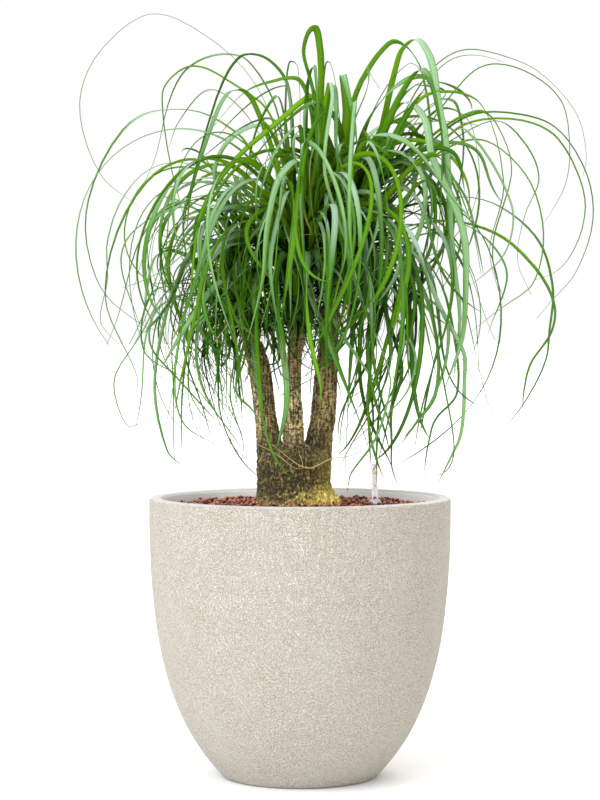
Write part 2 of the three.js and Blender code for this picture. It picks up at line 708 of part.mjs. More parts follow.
/** Fewer points of a line, closer together where it bends. */
function thinned(line, count) {
  const weights = [0];
  for (let i = 1; i < line.length; i += 1) {
    const ahead = line[Math.min(i + 1, line.length - 1)].clone().sub(line[i]);
    const behind = line[i].clone().sub(line[i - 1]);
    const bend = ahead.length() > 0 ? ahead.angleTo(behind) : 0;
    weights.push(weights[i - 1] + 0.5 / line.length + bend / Math.PI);
  }
  return Array.from({ length: count + 1 }, (_, k) => {
    const wanted = (weights.at(-1) * k) / count;
    const at = Math.min(Math.max(weights.findLastIndex((w) => w <= wanted), 0), line.length - 2);
    const share = Math.min((wanted - weights[at]) / (weights[at + 1] - weights[at]), 1);
    return { point: line[at].clone().lerp(line[at + 1], share), along: (at + share) / (line.length - 1) };
  });
}

/** A leaf blade: flat above, keeled below, narrow at its root and drawn out to a point. */
function blade({ line, width, segments }) {
  const stations = thinned(line, segments);
  const first = stations[1].point.clone().sub(stations[0].point);
  const side = new THREE.Vector3(-first.y, first.x, 0);
  if (side.length() < 1) {
    side.set(1, 0, 0);
  }
  side.normalize();
  const rings = stations.map(({ point, along }, i) => {
    const ahead = stations[Math.min(i + 1, stations.length - 1)].point;
    const behind = stations[Math.max(i - 1, 0)].point;
    const forward = ahead.clone().sub(behind).normalize();
    side.addScaledVector(forward, -side.dot(forward)).normalize();
    const face = new THREE.Vector3().crossVectors(forward, side);
    const taper = Math.min(0.3 + 4 * along, 1) * (1 - along ** 2.4) + 0.06;
    const half = (width * taper) / 2;
    return [
      point.clone().addScaledVector(side, half),
      point.clone().addScaledVector(side, -half),
      point.clone().addScaledVector(face, -leafKeel * Math.min(1, 0.5 + taper)),
    ];
  });
  return toSolid(loft(rings));
}

/** The closed heart of a crown, where its leaf bases are packed together. */
function crownCore(crown) {
  const rings = coreLevels.map(([rise, radius]) => {
    const centre = leafRoot(crown, rise);
    return Array.from({ length: coreSides }, (_, i) => {
      const angle = (i * Math.PI * 2) / coreSides;
      return [centre.x + radius * Math.cos(angle), centre.y + radius * Math.sin(angle), centre.z];
    });
  });
  return toSolid(loft(rings));
}

/** The largest body of a solid, with sealed hollows filled and loose scraps left out. */
function wholeBody(solid) {
  return solid.decompose().reduce((best, body) => (body.volume() > best.volume() ? body : best));
}

/** A crown: its heart and blades as one solid, without the blades that would cross a neighbour. */
function crownSolid(name, leaves, neighbours) {
  const blades = leaves.filter((leaf) => leaf.crown === name).map(blade);
  const kept = blades.filter((one) => neighbours.every((other) => one.intersect(other).volume() < 1e-4));
  return wholeBody(kept.reduce((whole, one) => whole.add(one), crownCore(crowns[name])));
}

// ---------------------------------------------------------------- object

/** A named mesh of one piece. */
function piece(name, geometry, color, roughness, extra = {}) {
  const material = new THREE.MeshStandardMaterial({ color, roughness, metalness: 0, ...extra });
  const mesh = new THREE.Mesh(geometry, material);
  mesh.name = name;
  return mesh;
}

const palm = new THREE.Group();
palm.add(piece('pot', pot(), colours.pot, 0.75));
palm.add(piece('drainage_bed', drainageBed(), colours.grit, 0.95));
palm.add(piece('soil', soil(), colours.soil, 1));
palm.add(piece('clay_granules', granules(), colours.granules, 0.9));
palm.add(piece('trunk', trunk(), colours.trunk, 0.9));
palm.add(piece('gauge_shaft', gaugeShaft(), colours.gaugeWhite, 0.45));
palm.add(piece('gauge_tube', gaugeTube(), colours.gaugeClear, 0.08, { transparent: true, opacity: 0.35 }));
palm.add(piece('gauge_float', gaugeFloat(), colours.gaugeRed, 0.4));

const leaves = growLeaves();
const neighbours = palm.children.map((mesh) => toSolid(mesh.geometry));
for (const name of Object.keys(crowns)) {
  const solid = crownSolid(name, leaves, neighbours);
  neighbours.push(solid);
  palm.add(piece(`crown_${name}`, toGeometry(solid), colours.leaf, 0.55, { side: THREE.DoubleSide }));
}

export default palm;
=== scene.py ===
# %% [markdown]
# # A ponytail palm in a planter
# This lesson dresses a potted ponytail palm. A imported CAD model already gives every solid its
# place and size, and moves the float of the water gauge. Blender adds what a solid model leaves
# out: hundreds of thin leaves, corky bark, loose clay granules and the planter's wrinkled glaze.
# Everything is in metres, with +Z up and the middle of the planter's foot at the origin.

# %% Load the solids
import math

import bpy
import numpy as np
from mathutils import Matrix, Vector, noise


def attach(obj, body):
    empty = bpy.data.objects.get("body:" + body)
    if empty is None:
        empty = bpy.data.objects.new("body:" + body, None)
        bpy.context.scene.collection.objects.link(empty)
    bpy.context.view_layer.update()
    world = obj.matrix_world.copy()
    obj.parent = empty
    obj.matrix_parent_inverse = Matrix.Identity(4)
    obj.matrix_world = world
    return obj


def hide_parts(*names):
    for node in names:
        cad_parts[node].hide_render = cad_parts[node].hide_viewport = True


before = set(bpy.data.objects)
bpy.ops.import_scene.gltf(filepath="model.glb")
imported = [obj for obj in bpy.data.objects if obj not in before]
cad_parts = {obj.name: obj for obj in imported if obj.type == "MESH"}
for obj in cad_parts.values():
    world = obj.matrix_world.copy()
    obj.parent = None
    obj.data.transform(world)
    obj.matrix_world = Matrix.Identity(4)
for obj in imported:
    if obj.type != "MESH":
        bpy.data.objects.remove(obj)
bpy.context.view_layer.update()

MM = 0.001
print("solids:", sorted(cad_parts))

# %% [markdown]
# ## Camera
# The photo was taken from a little over 3 m, with the lens just above the planter and tipped down
# by a degree and a half. That can be read from the rim: its ellipse is 20 pixels high and 300 wide.
# A long lens at the same distance gives the same flat, calm perspective.

# %% Place the camera
lens = bpy.data.cameras.new("portrait_lens")
lens.lens = 103.7
TIPPED_DOWN = 1.5
camera = bpy.data.objects.new("camera", lens)
camera.location = (0, -3.3, 0.625)
camera.rotation_euler = (math.radians(90 - TIPPED_DOWN), 0, 0)
bpy.context.collection.objects.link(camera)
bpy.context.scene.camera = camera
bpy.context.scene.view_settings.view_transform = "Standard"
print("camera looks along +Y from", tuple(round(c, 3) for c in camera.location))

# %% [markdown]
# ## Light
# Plants are photographed in a bright, white room, so that light also comes through the leaves from
# behind. A white sky does most of the work. A wide lamp above and to the left gives the leaves
# their sheen, a softer low one reaches under them to the trunk and the planter, and a warm one
# behind makes the leaves glow.

# %% Light the room
room = bpy.data.worlds.new("white_room")
room.use_nodes = True
sky = room.node_tree.nodes["Background"]
sky.inputs["Color"].default_value = (1, 1, 1, 1)
sky.inputs["Strength"].default_value = 1.0
bpy.context.scene.world = room


def add_light(name, place, strength, softness, colour):
    """A wide, even light that shines from a place towards the plant, softness degrees across."""
    light = bpy.data.lights.new(name, "SUN")
    light.energy = strength
    light.color = colour
    light.angle = math.radians(softness)
    lamp = bpy.data.objects.new(name, light)
    lamp.location = place
    lamp.rotation_euler = (-Vector(place)).to_track_quat("-Z", "Y").to_euler()
    bpy.context.collection.objects.link(lamp)


add_light("window", (-2.2, -2.2, 3.2), 1.35, 25, (0.92, 0.97, 1.0))
add_light("low_fill", (-1.6, -2.7, 0.7), 1.65, 50, (0.93, 0.97, 1.0))
add_light("back_light", (1.2, 2.6, 3.0), 1.1, 40, (1.0, 0.95, 0.86))

# %% [markdown]
# ## Shader sums
# A finish such as bark is a sum of noises and masks. Blender draws each step of it as a node. To
# keep the sums readable they are written here as Python: a `Wire` is one socket, and adding or
# multiplying two wires adds the node that does it.

# %% Write node trees as sums
class Wire:
    """One output socket of a material, which can be used in sums like a number."""

    def __init__(self, finish, socket):
        self.finish = finish
        self.socket = socket

    def math(self, operation, *values):
        return self.finish.node("ShaderNodeMath", {"operation": operation}, dict(enumerate(values)))

    def __add__(self, other):
        return self.math("ADD", self, other)

    def __sub__(self, other):
        return self.math("SUBTRACT", self, other)

    def __mul__(self, other):
        return self.math("MULTIPLY", self, other)

    def __rsub__(self, other):
        return self.math("SUBTRACT", other, self)

    __radd__ = __add__
    __rmul__ = __mul__

    def size(self):
        return self.math("ABSOLUTE", self)

    def step(self, low, high):
        """0 below low and 1 above high, with a smooth slope between them."""
        settings = {"interpolation_type": "SMOOTHSTEP"}
        sockets = {"Value": self, "From Min": low, "From Max": high}
        return self.finish.node("ShaderNodeMapRange", settings, sockets)


# %% Add the nodes of a finish
class Finish:
    """A material whose nodes are added one after another."""

    def __init__(self, name):
        self.material = bpy.data.materials.new(name)
        self.material.use_nodes = True
        self.tree = self.material.node_tree
        self.tree.nodes.clear()

    def node(self, kind, settings=(), sockets=(), output=0):
        """Adds a node, sets it up, fills its sockets with values or wires, and gives an output."""
        node = self.tree.nodes.new(kind)
        for key, value in dict(settings).items():
            if key == "stops":
                for _ in value[2:]:
                    node.color_ramp.elements.new(0.5)
                for element, (place, colour) in zip(node.color_ramp.elements, value):
                    element.position = place
                    element.color = (*colour, 1)
            else:
                setattr(node, key, value)
        for key, value in dict(sockets).items():
            socket = node.inputs[key]
            if isinstance(value, Wire):
                self.tree.links.new(value.socket, socket)
            elif socket.type == "RGBA":
                socket.default_value = (*value, 1)
            else:
                socket.default_value = value
        return Wire(self, node.outputs[output])

    def places(self):
        """The place on the piece, in metres."""
        return self.node("ShaderNodeTexCoord", output="Object")

    def stretched(self, across, along):
        """Places scaled for a grain that runs up the piece."""
        sockets = {0: self.places(), 1: (across, across, along)}
        return self.node("ShaderNodeVectorMath", {"operation": "MULTIPLY"}, sockets)

    def speckle(self, scale, detail=3.0, rough=0.55, where=None):
        """Soft noise from 0 to 1, with this many grains in a metre."""
        sockets = {"Vector": where or self.places(), "Scale": scale, "Detail": detail}
        return self.node("ShaderNodeTexNoise", (), {**sockets, "Roughness": rough})

    def bent(self, where, scale, push, onto=None):
        """Places, pushed about by a slow noise that is read where another set of places says."""
        bend = self.node("ShaderNodeTexNoise", (), {"Vector": where, "Scale": scale}, "Color")
        return self.node("ShaderNodeVectorMath", {"operation": "MULTIPLY_ADD"},
                         {0: bend, 1: push, 2: onto or where})

    def cracks(self, where):
        """The distance to the nearest crack between plates one unit wide, with wandering edges."""
        return self.node("ShaderNodeTexVoronoi", {"feature": "DISTANCE_TO_EDGE"},
                         {"Vector": self.bent(where, 0.8, (1, 1, 1)), "Scale": 1.0})

    def mix(self, share, first, second):
        """A colour between two others."""
        return self.node("ShaderNodeMix", {"data_type": "RGBA"}, {0: share, 6: first, 7: second}, 2)

    def relief(self, height, depth):
        """A bumpy surface, this many metres deep."""
        return self.node("ShaderNodeBump", (), {"Height": height, "Distance": depth, "Strength": 1})

    def kept(self, name, output="Fac"):
        """What the mesh keeps for each of its points under a name."""
        settings = {"attribute_type": "GEOMETRY", "attribute_name": name}
        return self.node("ShaderNodeAttribute", settings, output=output)

    def parts(self, vector):
        """The three numbers of a vector."""
        node = self.node("ShaderNodeSeparateXYZ", (), {0: vector}).socket.node
        return [Wire(self, socket) for socket in node.outputs]

    def surface(self, **sockets):
        """The main shader, with names written in Python's way."""
        named = {key.replace("_", " "): value for key, value in sockets.items()}
        return self.node("ShaderNodeBsdfPrincipled", (), named)

    def made(self, **sockets):
        """The finished material, for a surface that needs only the main shader."""
        return self.done(self.surface(**sockets))

    def done(self, shader):
        """Sends a shader to the surface, and hands over the finished material."""
        end = self.tree.nodes.new("ShaderNodeOutputMaterial")
        self.tree.links.new(shader.socket, end.inputs["Surface"])
        return self.material


print("a finish can be written as sums of noises and masks")

# %% [markdown]
# ## Meshes from arrays
# Most pieces here are skins over rings of points: a planter is rings of one circle, a stem is
# rings that wander and swell, and a leaf is small rings along a curve. One helper turns rings into
# a mesh, so each piece only has to say where its rings are.

# %% Turn rings into meshes
def new_piece(name, points, faces, finish, smooth=True):
    """A mesh from points in metres and lists of corners."""
    mesh = bpy.data.meshes.new(name)
    mesh.from_pydata(np.asarray(points).tolist(), [], [list(map(int, face)) for face in faces])
    mesh.materials.append(finish)
    mesh.polygons.foreach_set("use_smooth", [smooth] * len(mesh.polygons))
    piece = bpy.data.objects.new(name, mesh)
    bpy.context.collection.objects.link(piece)
    return piece


def skin(rows, sides):
    """Corners of the four-sided faces between rings of equally many points."""
    along, around = np.meshgrid(np.arange(rows - 1), np.arange(sides), indexing="ij")
    after = (around + 1) % sides
    low = along * sides
    corners = [low + around, low + after, low + sides + after, low + sides + around]
    return np.stack(corners, axis=-1).reshape(-1, 4)


def closed_skin(rows, sides):
    """The same faces as lists, with a lid on the first ring and on the last."""
    lids = [list(range(sides))[::-1], list(range((rows - 1) * sides, rows * sides))]
    return [list(face) for face in skin(rows, sides)] + lids


# %% Read, move and mark points
def points_of(piece):
    """The points of a mesh, in metres."""
    return np.array([v.co for v in piece.data.vertices])


def move_points(piece, points):
    piece.data.vertices.foreach_set("co", points.ravel())


def noise_at(points, scale):
    """Soft noise at each point, with this many bumps in a metre."""
    return np.array([noise.noise(Vector(p) * scale) for p in points])


def keep_on_points(piece, name, values):
    """Stores a number or a vector for each point, where a finish can read it."""
    values = np.asarray(values, np.float32)
    kind, key = ("FLOAT", "value") if values.ndim == 1 else ("FLOAT_VECTOR", "vector")
    attribute = piece.data.attributes.new(name, kind, "POINT")
    attribute.data.foreach_set(key, values.ravel())


def keep_layout(piece, corner_places):
    """Stores where each corner of the mesh lies on its flat layout."""
    layout = piece.data.uv_layers.new(name="OFBake")
    layout.data.foreach_set("uv", np.asarray(corner_places, np.float32).ravel())


# %% Turn on a lathe, and put in place
def turned(name, profile, sides, finish, place=(0, 0)):
    """A piece turned on a lathe from [radius, height] in millimetres, and its layout."""
    profile = np.array(profile, float)
    angle = np.arange(sides) * 2 * math.pi / sides
    x = place[0] + profile[:, :1] * np.cos(angle)
    y = place[1] + profile[:, :1] * np.sin(angle)
    z = np.repeat(profile[:, 1:], sides, axis=1)
    points = np.stack([x, y, z], axis=-1).reshape(-1, 3) * MM
    faces = skin(len(profile), sides)
    piece = new_piece(name, points, faces, finish)
    reach = np.concatenate(([0], np.cumsum(np.linalg.norm(np.diff(profile, axis=0), axis=1))))
    row, column = np.divmod(np.arange(len(faces)), sides)
    u = np.stack([column, column + 1, column + 1, column], axis=-1) / sides
    v = reach[np.stack([row, row, row + 1, row + 1], axis=-1)] / reach[-1]
    keep_layout(piece, np.stack([u, v], axis=-1) * 0.996 + 0.002)
    return piece


def put(piece, slot, *nodes, body="planted_pot"):
    """Lets a piece ride with the model, and hides the solids that it stands for."""
    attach(piece, body)
    if nodes:
        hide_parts(*nodes)
    print(f"{piece.name}: {len(piece.data.polygons)} faces")


# %% [markdown]
# ## Floor
# A wide pale sheet of paper, large enough to run out of the picture on every side. It is a stage
# and not part of the object.

# %% Lay the floor
floor_finish = Finish("pale_paper")
fibres = floor_finish.speckle(60)
paper = floor_finish.mix(fibres, (0.90, 0.90, 0.90), (0.93, 0.93, 0.93))
floor_finish.made(Base_Color=paper, Roughness=0.9)
FLOOR_REACH = 300
corners = [(-1, -1, 0), (1, -1, 0), (1, 1, 0), (-1, 1, 0)]
floor = new_piece("floor", np.array(corners) * FLOOR_REACH, [(0, 1, 2, 3)], floor_finish.material)
print("floor:", tuple(round(d, 1) for d in floor.dimensions[:2]), "m")

# %% [markdown]
# ## Planter
# The planter is cast in light stone and coated with a cream finish that dries into fine, worm-like
# wrinkles. The wall leans out from a small foot and stands upright at a smooth, rounded rim.
# Its curve is two Bezier curves, outside and inside. The wrinkles are finer than any sensible
# mesh, so they are a relief in the finish, while the slow waves left by the mould are in the mesh.

# %% Mix the planter's finish
def planter_finish():
    finish = Finish("wrinkled_cream_glaze")
    smooth_part = finish.kept("smooth_rim")
    bent = finish.bent(finish.places(), 380, (0.0016, 0.0016, 0.0016))
    worms = (finish.speckle(510, 0.4, 0.5, bent) - 0.5).size() * 8
    ridges = worms.math("MINIMUM", worms, 1.0)
    pores = finish.speckle(620, 2)
    cloud = finish.speckle(7, 4)
    dusting = finish.speckle(16, 5).step(0.42, 0.68)
    height = ridges * 0.75 + pores * 0.25
    valley = finish.mix(cloud, (0.255, 0.19, 0.12), (0.31, 0.245, 0.175))
    ridge = finish.mix(cloud, (0.54, 0.495, 0.42), (0.57, 0.54, 0.485))
    coat = finish.mix(height.step(0.05, 0.75), valley, ridge)
    dusted = finish.mix(dusting * 0.2, coat, (0.53, 0.505, 0.46))
    rim = finish.mix(finish.speckle(40), (0.56, 0.54, 0.50), (0.60, 0.59, 0.56))
    rimmed = finish.mix(smooth_part, dusted, rim)
    # The inside is a smooth off-white, lifted to near white as painted light against the shade
    # inside the planter.
    colour = finish.mix(finish.kept("inside"), rimmed, (0.96, 0.955, 0.95))
    bumps = height * (1 - smooth_part) + pores * smooth_part * 0.08
    return finish.made(
        Base_Color=colour,
        Roughness=0.62 + cloud * 0.16 - smooth_part * 0.12,
        Normal=finish.relief(bumps, 0.0009),
    )


# %% Draw the planter's outline
def bezier(a, b, c, d, steps):
    """Points of a cubic Bezier curve."""
    a, b, c, d = (np.array(p, float) for p in (a, b, c, d))
    t = np.linspace(0, 1, steps + 1)[:, None]
    return (1 - t) ** 3 * a + 3 * t * (1 - t) ** 2 * b + 3 * t * t * (1 - t) * c + t ** 3 * d


def arc(centre, radius, start, end, steps):
    """Points of a circle from one direction to another, in degrees."""
    angle = np.radians(np.linspace(start, end, steps + 1))[:, None]
    return np.array(centre) + radius * np.hstack([np.cos(angle), np.sin(angle)])


POT_RADIUS, POT_HEIGHT, RIM_WIDTH, RIM_ROUND = 216, 400, 19, 5
INNER_RIM, SHOULDER = POT_RADIUS - RIM_WIDTH, POT_HEIGHT - RIM_ROUND
outer_wall = bezier((112, 2), (196, 87), (POT_RADIUS, 212), (POT_RADIUS, SHOULDER), 150)
inner_wall = bezier((98, 22), (178, 98), (INNER_RIM, 215), (INNER_RIM, SHOULDER), 50)[::-1]
pot_profile = np.vstack([
    [(0.01, 0), (60, 0), (100, 0), (106, 0)],
    arc((106, 6), 6, -80, -50, 3),
    outer_wall,
    arc((POT_RADIUS - RIM_ROUND, SHOULDER), RIM_ROUND, 12, 90, 7),
    arc((INNER_RIM + RIM_ROUND, SHOULDER), RIM_ROUND, 90, 168, 7),
    inner_wall,
    [(60, 22), (0.01, 22)],
])
print("planter:", len(pot_profile), "rings")

# %% Turn the planter, wave its wall and mark its smooth rim
POT_SIDES, WAVE_DEPTH, RIM_LINE = 288, 0.0005, 0.3975
pot = turned("planter", pot_profile, POT_SIDES, planter_finish())
pot_points = points_of(pot)
outer_count = len(pot_profile) - len(inner_wall) - 2
row = np.repeat(np.arange(len(pot_profile)), POT_SIDES)
waves = noise_at(pot_points, 14) * 0.7 + noise_at(pot_points, 45) * 0.3
outside = (row > 8) & (row < outer_count - 16)
radial = pot_points * (1, 1, 0) / np.maximum(np.hypot(*pot_points[:, :2].T), 1e-6)[:, None]
pot_points += radial * (waves * outside * WAVE_DEPTH)[:, None]
move_points(pot, pot_points)
edge_noise = noise_at(pot_points, 60) * 0.0012
rim_line = np.clip((pot_points[:, 2] + edge_noise - RIM_LINE) / 0.002, 0, 1)
keep_on_points(pot, "smooth_rim", np.where(row > outer_count - 12, 1.0, rim_line))
# Marks the inside, whose near-white colour is partly painted light against the shade within.
keep_on_points(pot, "inside", (row > outer_count - 3) * 1.0)
put(pot, "pot", "pot")

# %% [markdown]
# ## What fills the planter
# Grit holds the water store at the bottom, and black potting soil carries the plant. Both solids
# stay as they are and only get a finish, since the dressing hides them.

# %% Finish the grit and the soil
def earthy_finish(name, dark, light, grain):
    finish = Finish(name)
    lumps = finish.speckle(grain, 4)
    colour = finish.mix(lumps.step(0.35, 0.7), dark, light)
    relief = finish.relief(lumps, 0.002)
    return finish.made(Base_Color=colour, Roughness=0.95, Normal=relief)


black_soil = earthy_finish("black_soil", (0.006, 0.005, 0.004), (0.035, 0.027, 0.02), 300)
grey_grit = earthy_finish("grey_grit", (0.12, 0.11, 0.10), (0.38, 0.35, 0.31), 240)
for node, finish in (("drainage_bed", grey_grit), ("soil", black_soil)):
    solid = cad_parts[node]
    solid.data.materials.clear()
    solid.data.materials.append(finish)
    print(node, "finished with", finish.name)

# %% [markdown]
# ## Clay granules
# The dressing is fired clay, broken into lumps of 5 to 7 mm, red with a dusty bloom. Each granule
# is a small eight-sided stone, split once, rounded and dented at random. Some 2600 of them lie
# side by side on a bed that closes the gaps between them. The bed and the lower flanks of the
# granules are painted dark, as painted shade in the gaps.

# %% Mix the clay's finish
def clay_finish():
    finish = Finish("fired_clay")
    tint = finish.kept("tint")
    dust = finish.speckle(420, 3)
    colour = finish.mix(tint, (0.26, 0.07, 0.04), (0.76, 0.28, 0.185))
    dusty = finish.mix(dust.step(0.45, 0.8) * tint * 0.6, colour, (0.85, 0.48, 0.37))
    # The kept depth paints shade: granule flanks and undersides and the bed are mixed towards near
    # black, as painted shade in the gaps.
    deep = finish.mix(finish.kept("depth"), dusty, (0.020, 0.006, 0.004))
    relief = finish.relief(finish.speckle(900, 3), 0.0005)
    return finish.made(Base_Color=deep, Roughness=0.88, Normal=relief)


clay = clay_finish()
print("finish:", clay.name)

# %% Model one granule
def split_stone():
    """An octahedron whose faces are split once, on a ball of radius 1."""
    points = [(1, 0, 0), (-1, 0, 0), (0, 1, 0), (0, -1, 0), (0, 0, 1), (0, 0, -1)]
    faces = [(0, 2, 4), (2, 1, 4), (1, 3, 4), (3, 0, 4), (2, 0, 5), (1, 2, 5), (3, 1, 5), (0, 3, 5)]
    middles = {}
    split = []
    for a, b, c in faces:
        edge = []
        for p, q in ((a, b), (b, c), (c, a)):
            key = tuple(sorted((p, q)))
            if key not in middles:
                middle = np.add(points[p], points[q])
                points.append(tuple(middle / np.linalg.norm(middle)))
                middles[key] = len(points) - 1
            edge.append(middles[key])
        ab, bc, ca = edge
        split += [(a, ab, ca), (ab, b, bc), (ca, bc, c), (ab, bc, ca)]
    return np.array(points), np.array(split)


STONE_POINTS, STONE_FACES = split_stone()
print("one granule:", len(STONE_FACES), "faces")

# %% Scatter stones
def scatter_stones(name, places, sizes, finish, random, dents=0.16, flat=0.8):
    """One mesh of many dented stones, each turned its own way."""
    count = len(places)
    turn = random.normal(size=(count, 4))
    turn /= np.linalg.norm(turn, axis=1, keepdims=True)
    w, x, y, z = turn.T
    rotation = np.array([
        [1 - 2 * (y * y + z * z), 2 * (x * y - w * z), 2 * (x * z + w * y)],
        [2 * (x * y + w * z), 1 - 2 * (x * x + z * z), 2 * (y * z - w * x)],
        [2 * (x * z - w * y), 2 * (y * z + w * x), 1 - 2 * (x * x + y * y)],
    ]).transpose(2, 0, 1)
    shape = STONE_POINTS[None] * (1 + random.uniform(-dents, dents, (count, len(STONE_POINTS), 1)))
    shape = shape * random.uniform(flat, 1.12, (count, 1, 3))
    shape = np.einsum("nij,nkj->nki", rotation, shape) * (np.asarray(sizes)[:, None, None] / 2)
    points = (shape + np.asarray(places)[:, None]).reshape(-1, 3)
    faces = (STONE_FACES[None] + np.arange(count)[:, None, None] * len(STONE_POINTS)).reshape(-1, 3)
    piece = new_piece(name, points * MM, faces, finish)
    keep_on_points(piece, "tint", np.repeat(random.uniform(0, 1, count), len(STONE_POINTS)))
    return piece


ROOT_HOLE, GRANULES_GAP = 63, 2.2
DRESSING_AT_TRUNK, DRESSING_AT_WALL = 391, 384


def dressing_height(radius):
    """How high the dressing lies at a distance from the trunk, in millimetres."""
    share = np.clip((radius - ROOT_HOLE) / (INNER_RIM - (ROOT_HOLE + GRANULES_GAP)), 0, 1)
    return DRESSING_AT_TRUNK + (DRESSING_AT_WALL - DRESSING_AT_TRUNK) * np.sqrt(share)


print("dressing at half way:", round(float(dressing_height(130)), 1), "mm high")

# %% Lay the bed
BED_FLOOR, BED_INNER, BED_OUTER, BED_SIDES = 378.6, 62.5, 194.2, 200
UNDER_GRANULES, BED_LUMPS = 4.2, 1.2
bed_rings = [(BED_INNER, BED_FLOOR), (BED_OUTER, BED_FLOOR)]
bed_rings += [(r, dressing_height(r) - UNDER_GRANULES)
              for r in np.linspace(BED_OUTER, BED_INNER, 40)]
bed_rings += [bed_rings[0]]
bed = turned("granule_bed", bed_rings, BED_SIDES, clay)
bed_points = points_of(bed)
raised = bed_points[:, 2] > (BED_FLOOR + 0.9) * MM
bed_points[:, 2] += noise_at(bed_points, 260) * raised * BED_LUMPS * MM
move_points(bed, bed_points)
# Painted shade: the bed between the granules is mixed 85 % of the way to near black.
keep_on_points(bed, "depth", np.full(len(bed_points), 0.85))
put(bed, "granules", "clay_granules")

# %% Lay the granules on it
GAUGE, GAUGE_ROOM = (108, 20), 12.2
GRANULE_PITCH, RING_PITCH = 7.2, 5.4
FIRST_RING, LAST_RING = 64.5, 193.5
random = np.random.default_rng(4)
places, sizes = [], []
radius = FIRST_RING
while radius < LAST_RING:
    count = int(2 * math.pi * radius / GRANULE_PITCH)
    for i in range(count):
        angle = (i + random.uniform(-0.3, 0.3)) * 2 * math.pi / count
        r = radius + random.uniform(-1.3, 1.3)
        x, y = r * math.cos(angle), r * math.sin(angle)
        if math.hypot(x - GAUGE[0], y - GAUGE[1]) > GAUGE_ROOM:
            on_top = 4.4 * (random.uniform() < 0.3)
            places.append((x, y, dressing_height(r) - 2.2 + on_top + random.uniform(-2, 2)))
            sizes.append(random.uniform(5, 7))
    radius += RING_PITCH
places, sizes = np.array(places), np.array(sizes)
granules = scatter_stones("clay_granules_loose", places, sizes, clay, random)
# The lower flanks of each granule get painted shade, darker the lower they lie.
below = np.repeat(places[:, 2], len(STONE_POINTS)) - points_of(granules)[:, 2] / MM
keep_on_points(granules, "depth", np.clip(below / 3.2 + 0.9, 0, 0.97))
put(granules, "granules", "clay_granules")

# %% [markdown]
# ## Soil crumbs
# Behind the trunk and near the wall the dressing is thin and black soil shows through it in
# coarse crumbs. They are the same stones, larger, rougher and black.

# %% Crumble the soil over the dressing
crumb_places, crumb_sizes = [], []
for centre, spread, count in ((118, 20, 60), (62, 17, 50), (171, 10, 14), (10, 8, 10)):
    for _ in range(count):
        angle = math.radians(centre + random.normal() * spread * 0.55)
        r = random.uniform(68, 190) if spread > 12 else random.uniform(120, 188)
        height = dressing_height(r) + random.uniform(0.2, 3.4)
        crumb_places.append((r * math.cos(angle), r * math.sin(angle), height))
        crumb_sizes.append(random.uniform(4, 10))
crumb_places, crumb_sizes = np.array(crumb_places), np.array(crumb_sizes)
clear = np.hypot(*(crumb_places[:, :2] - GAUGE).T) > 18
crumbs = scatter_stones("soil_crumbs", crumb_places[clear], crumb_sizes[clear], black_soil, random,
                        dents=0.3, flat=0.6)
put(crumbs, "soil")

# %% [markdown]
# ## Smooth curves
# Stems and leaves are both drawn as a few known points with a smooth curve through them. The
# curve leaves each point in the direction of its two neighbours, which is how a springy
# batten bends. Working in one function for any number of columns lets a stem's radius
# be smoothed together with its place.

# %% Draw smooth curves through points
def smooth_line(through, steps):
    """Evenly spaced points on a smooth curve through the given ones."""
    through = np.asarray(through, float)
    reach = np.concatenate(([0], np.cumsum(np.linalg.norm(np.diff(through, axis=0), axis=1))))
    index = np.arange(len(through))
    before, after = np.maximum(index - 1, 0), np.minimum(index + 1, len(through) - 1)
    slope = (through[after] - through[before]) / (reach[after] - reach[before])[:, None]
    along = reach[-1] * np.arange(steps + 1) / steps
    k = np.clip(np.searchsorted(reach, along, side="right") - 1, 0, len(through) - 2)
    span = (reach[k + 1] - reach[k])[:, None]
    u = (along - reach[k])[:, None] / span
    start = through[k] * (2 * u ** 3 - 3 * u ** 2 + 1) + through[k + 1] * (3 * u ** 2 - 2 * u ** 3)
    bend = slope[k] * (u ** 3 - 2 * u ** 2 + u) + slope[k + 1] * (u ** 3 - u ** 2)
    return start + bend * span


print("a curve through three points:", smooth_line([(0, 0), (2, 2), (4, 0)], 4).round(2).tolist())

# %% [markdown]
# ## Trunk
# An old palm swells at the foot to store water, and three stems rise from it. The solids give the
# levels of each: height, place and radius. Lofted skins of these levels are melted together by a
# voxel remesh, which rounds the forks as living wood does. The corky bark is then carved into the
# mesh: long plates between fissures on the old wood, deeper on the foot, and rings of leaf scars
# on the young stem in the middle. The foot flares at the right, where moss has grown on it.

# %% Give the levels of the wood
FOOT_LEVELS = [
    [300.4, -1.5, 0, 50], [318, -1.5, 0, 58], [345, -1.5, 0, 60], [391, -1.5, 0, 60.8],
    [399, -3, 0, 58], [409, -6.5, 0, 53.5], [424, -8.6, 0, 51], [445, -8.4, 0, 52.5],
    [458, -8, 0, 50], [468, -8, 0, 42], [476, -8, 0, 28],
]
STEM_LEVELS = {
    "left": [
        [440, -38, 7, 21], [467, -43, 8, 19], [490, -46, 9, 17], [510, -49, 10, 15.6],
        [545, -53, 12, 15.6], [582, -58, 15, 16], [607, -64, 17, 15.5], [622, -68, 18, 14],
    ],
    "middle": [
        [440, -9, -15, 20], [467, -9, -18, 17], [490, -9.5, -17, 15], [510, -9.7, -17, 14.3],
        [557, -9, -16, 10.6], [600, -7.5, -15, 10.6], [618, -5.5, -14.5, 12], [626, -4, -14, 13],
    ],
    "right": [
        [440, 20, 8, 24], [467, 25, 9, 21], [490, 29, 9, 18.5], [510, 33, 9, 17.8],
        [557, 36, 10, 16.8], [610, 40, 11, 14.2], [650, 42, 11, 13.5], [682, 46, 12, 13.4],
        [697, 51, 12, 14],
    ],
}
print("levels of wood:", len(FOOT_LEVELS) + sum(map(len, STEM_LEVELS.values())))

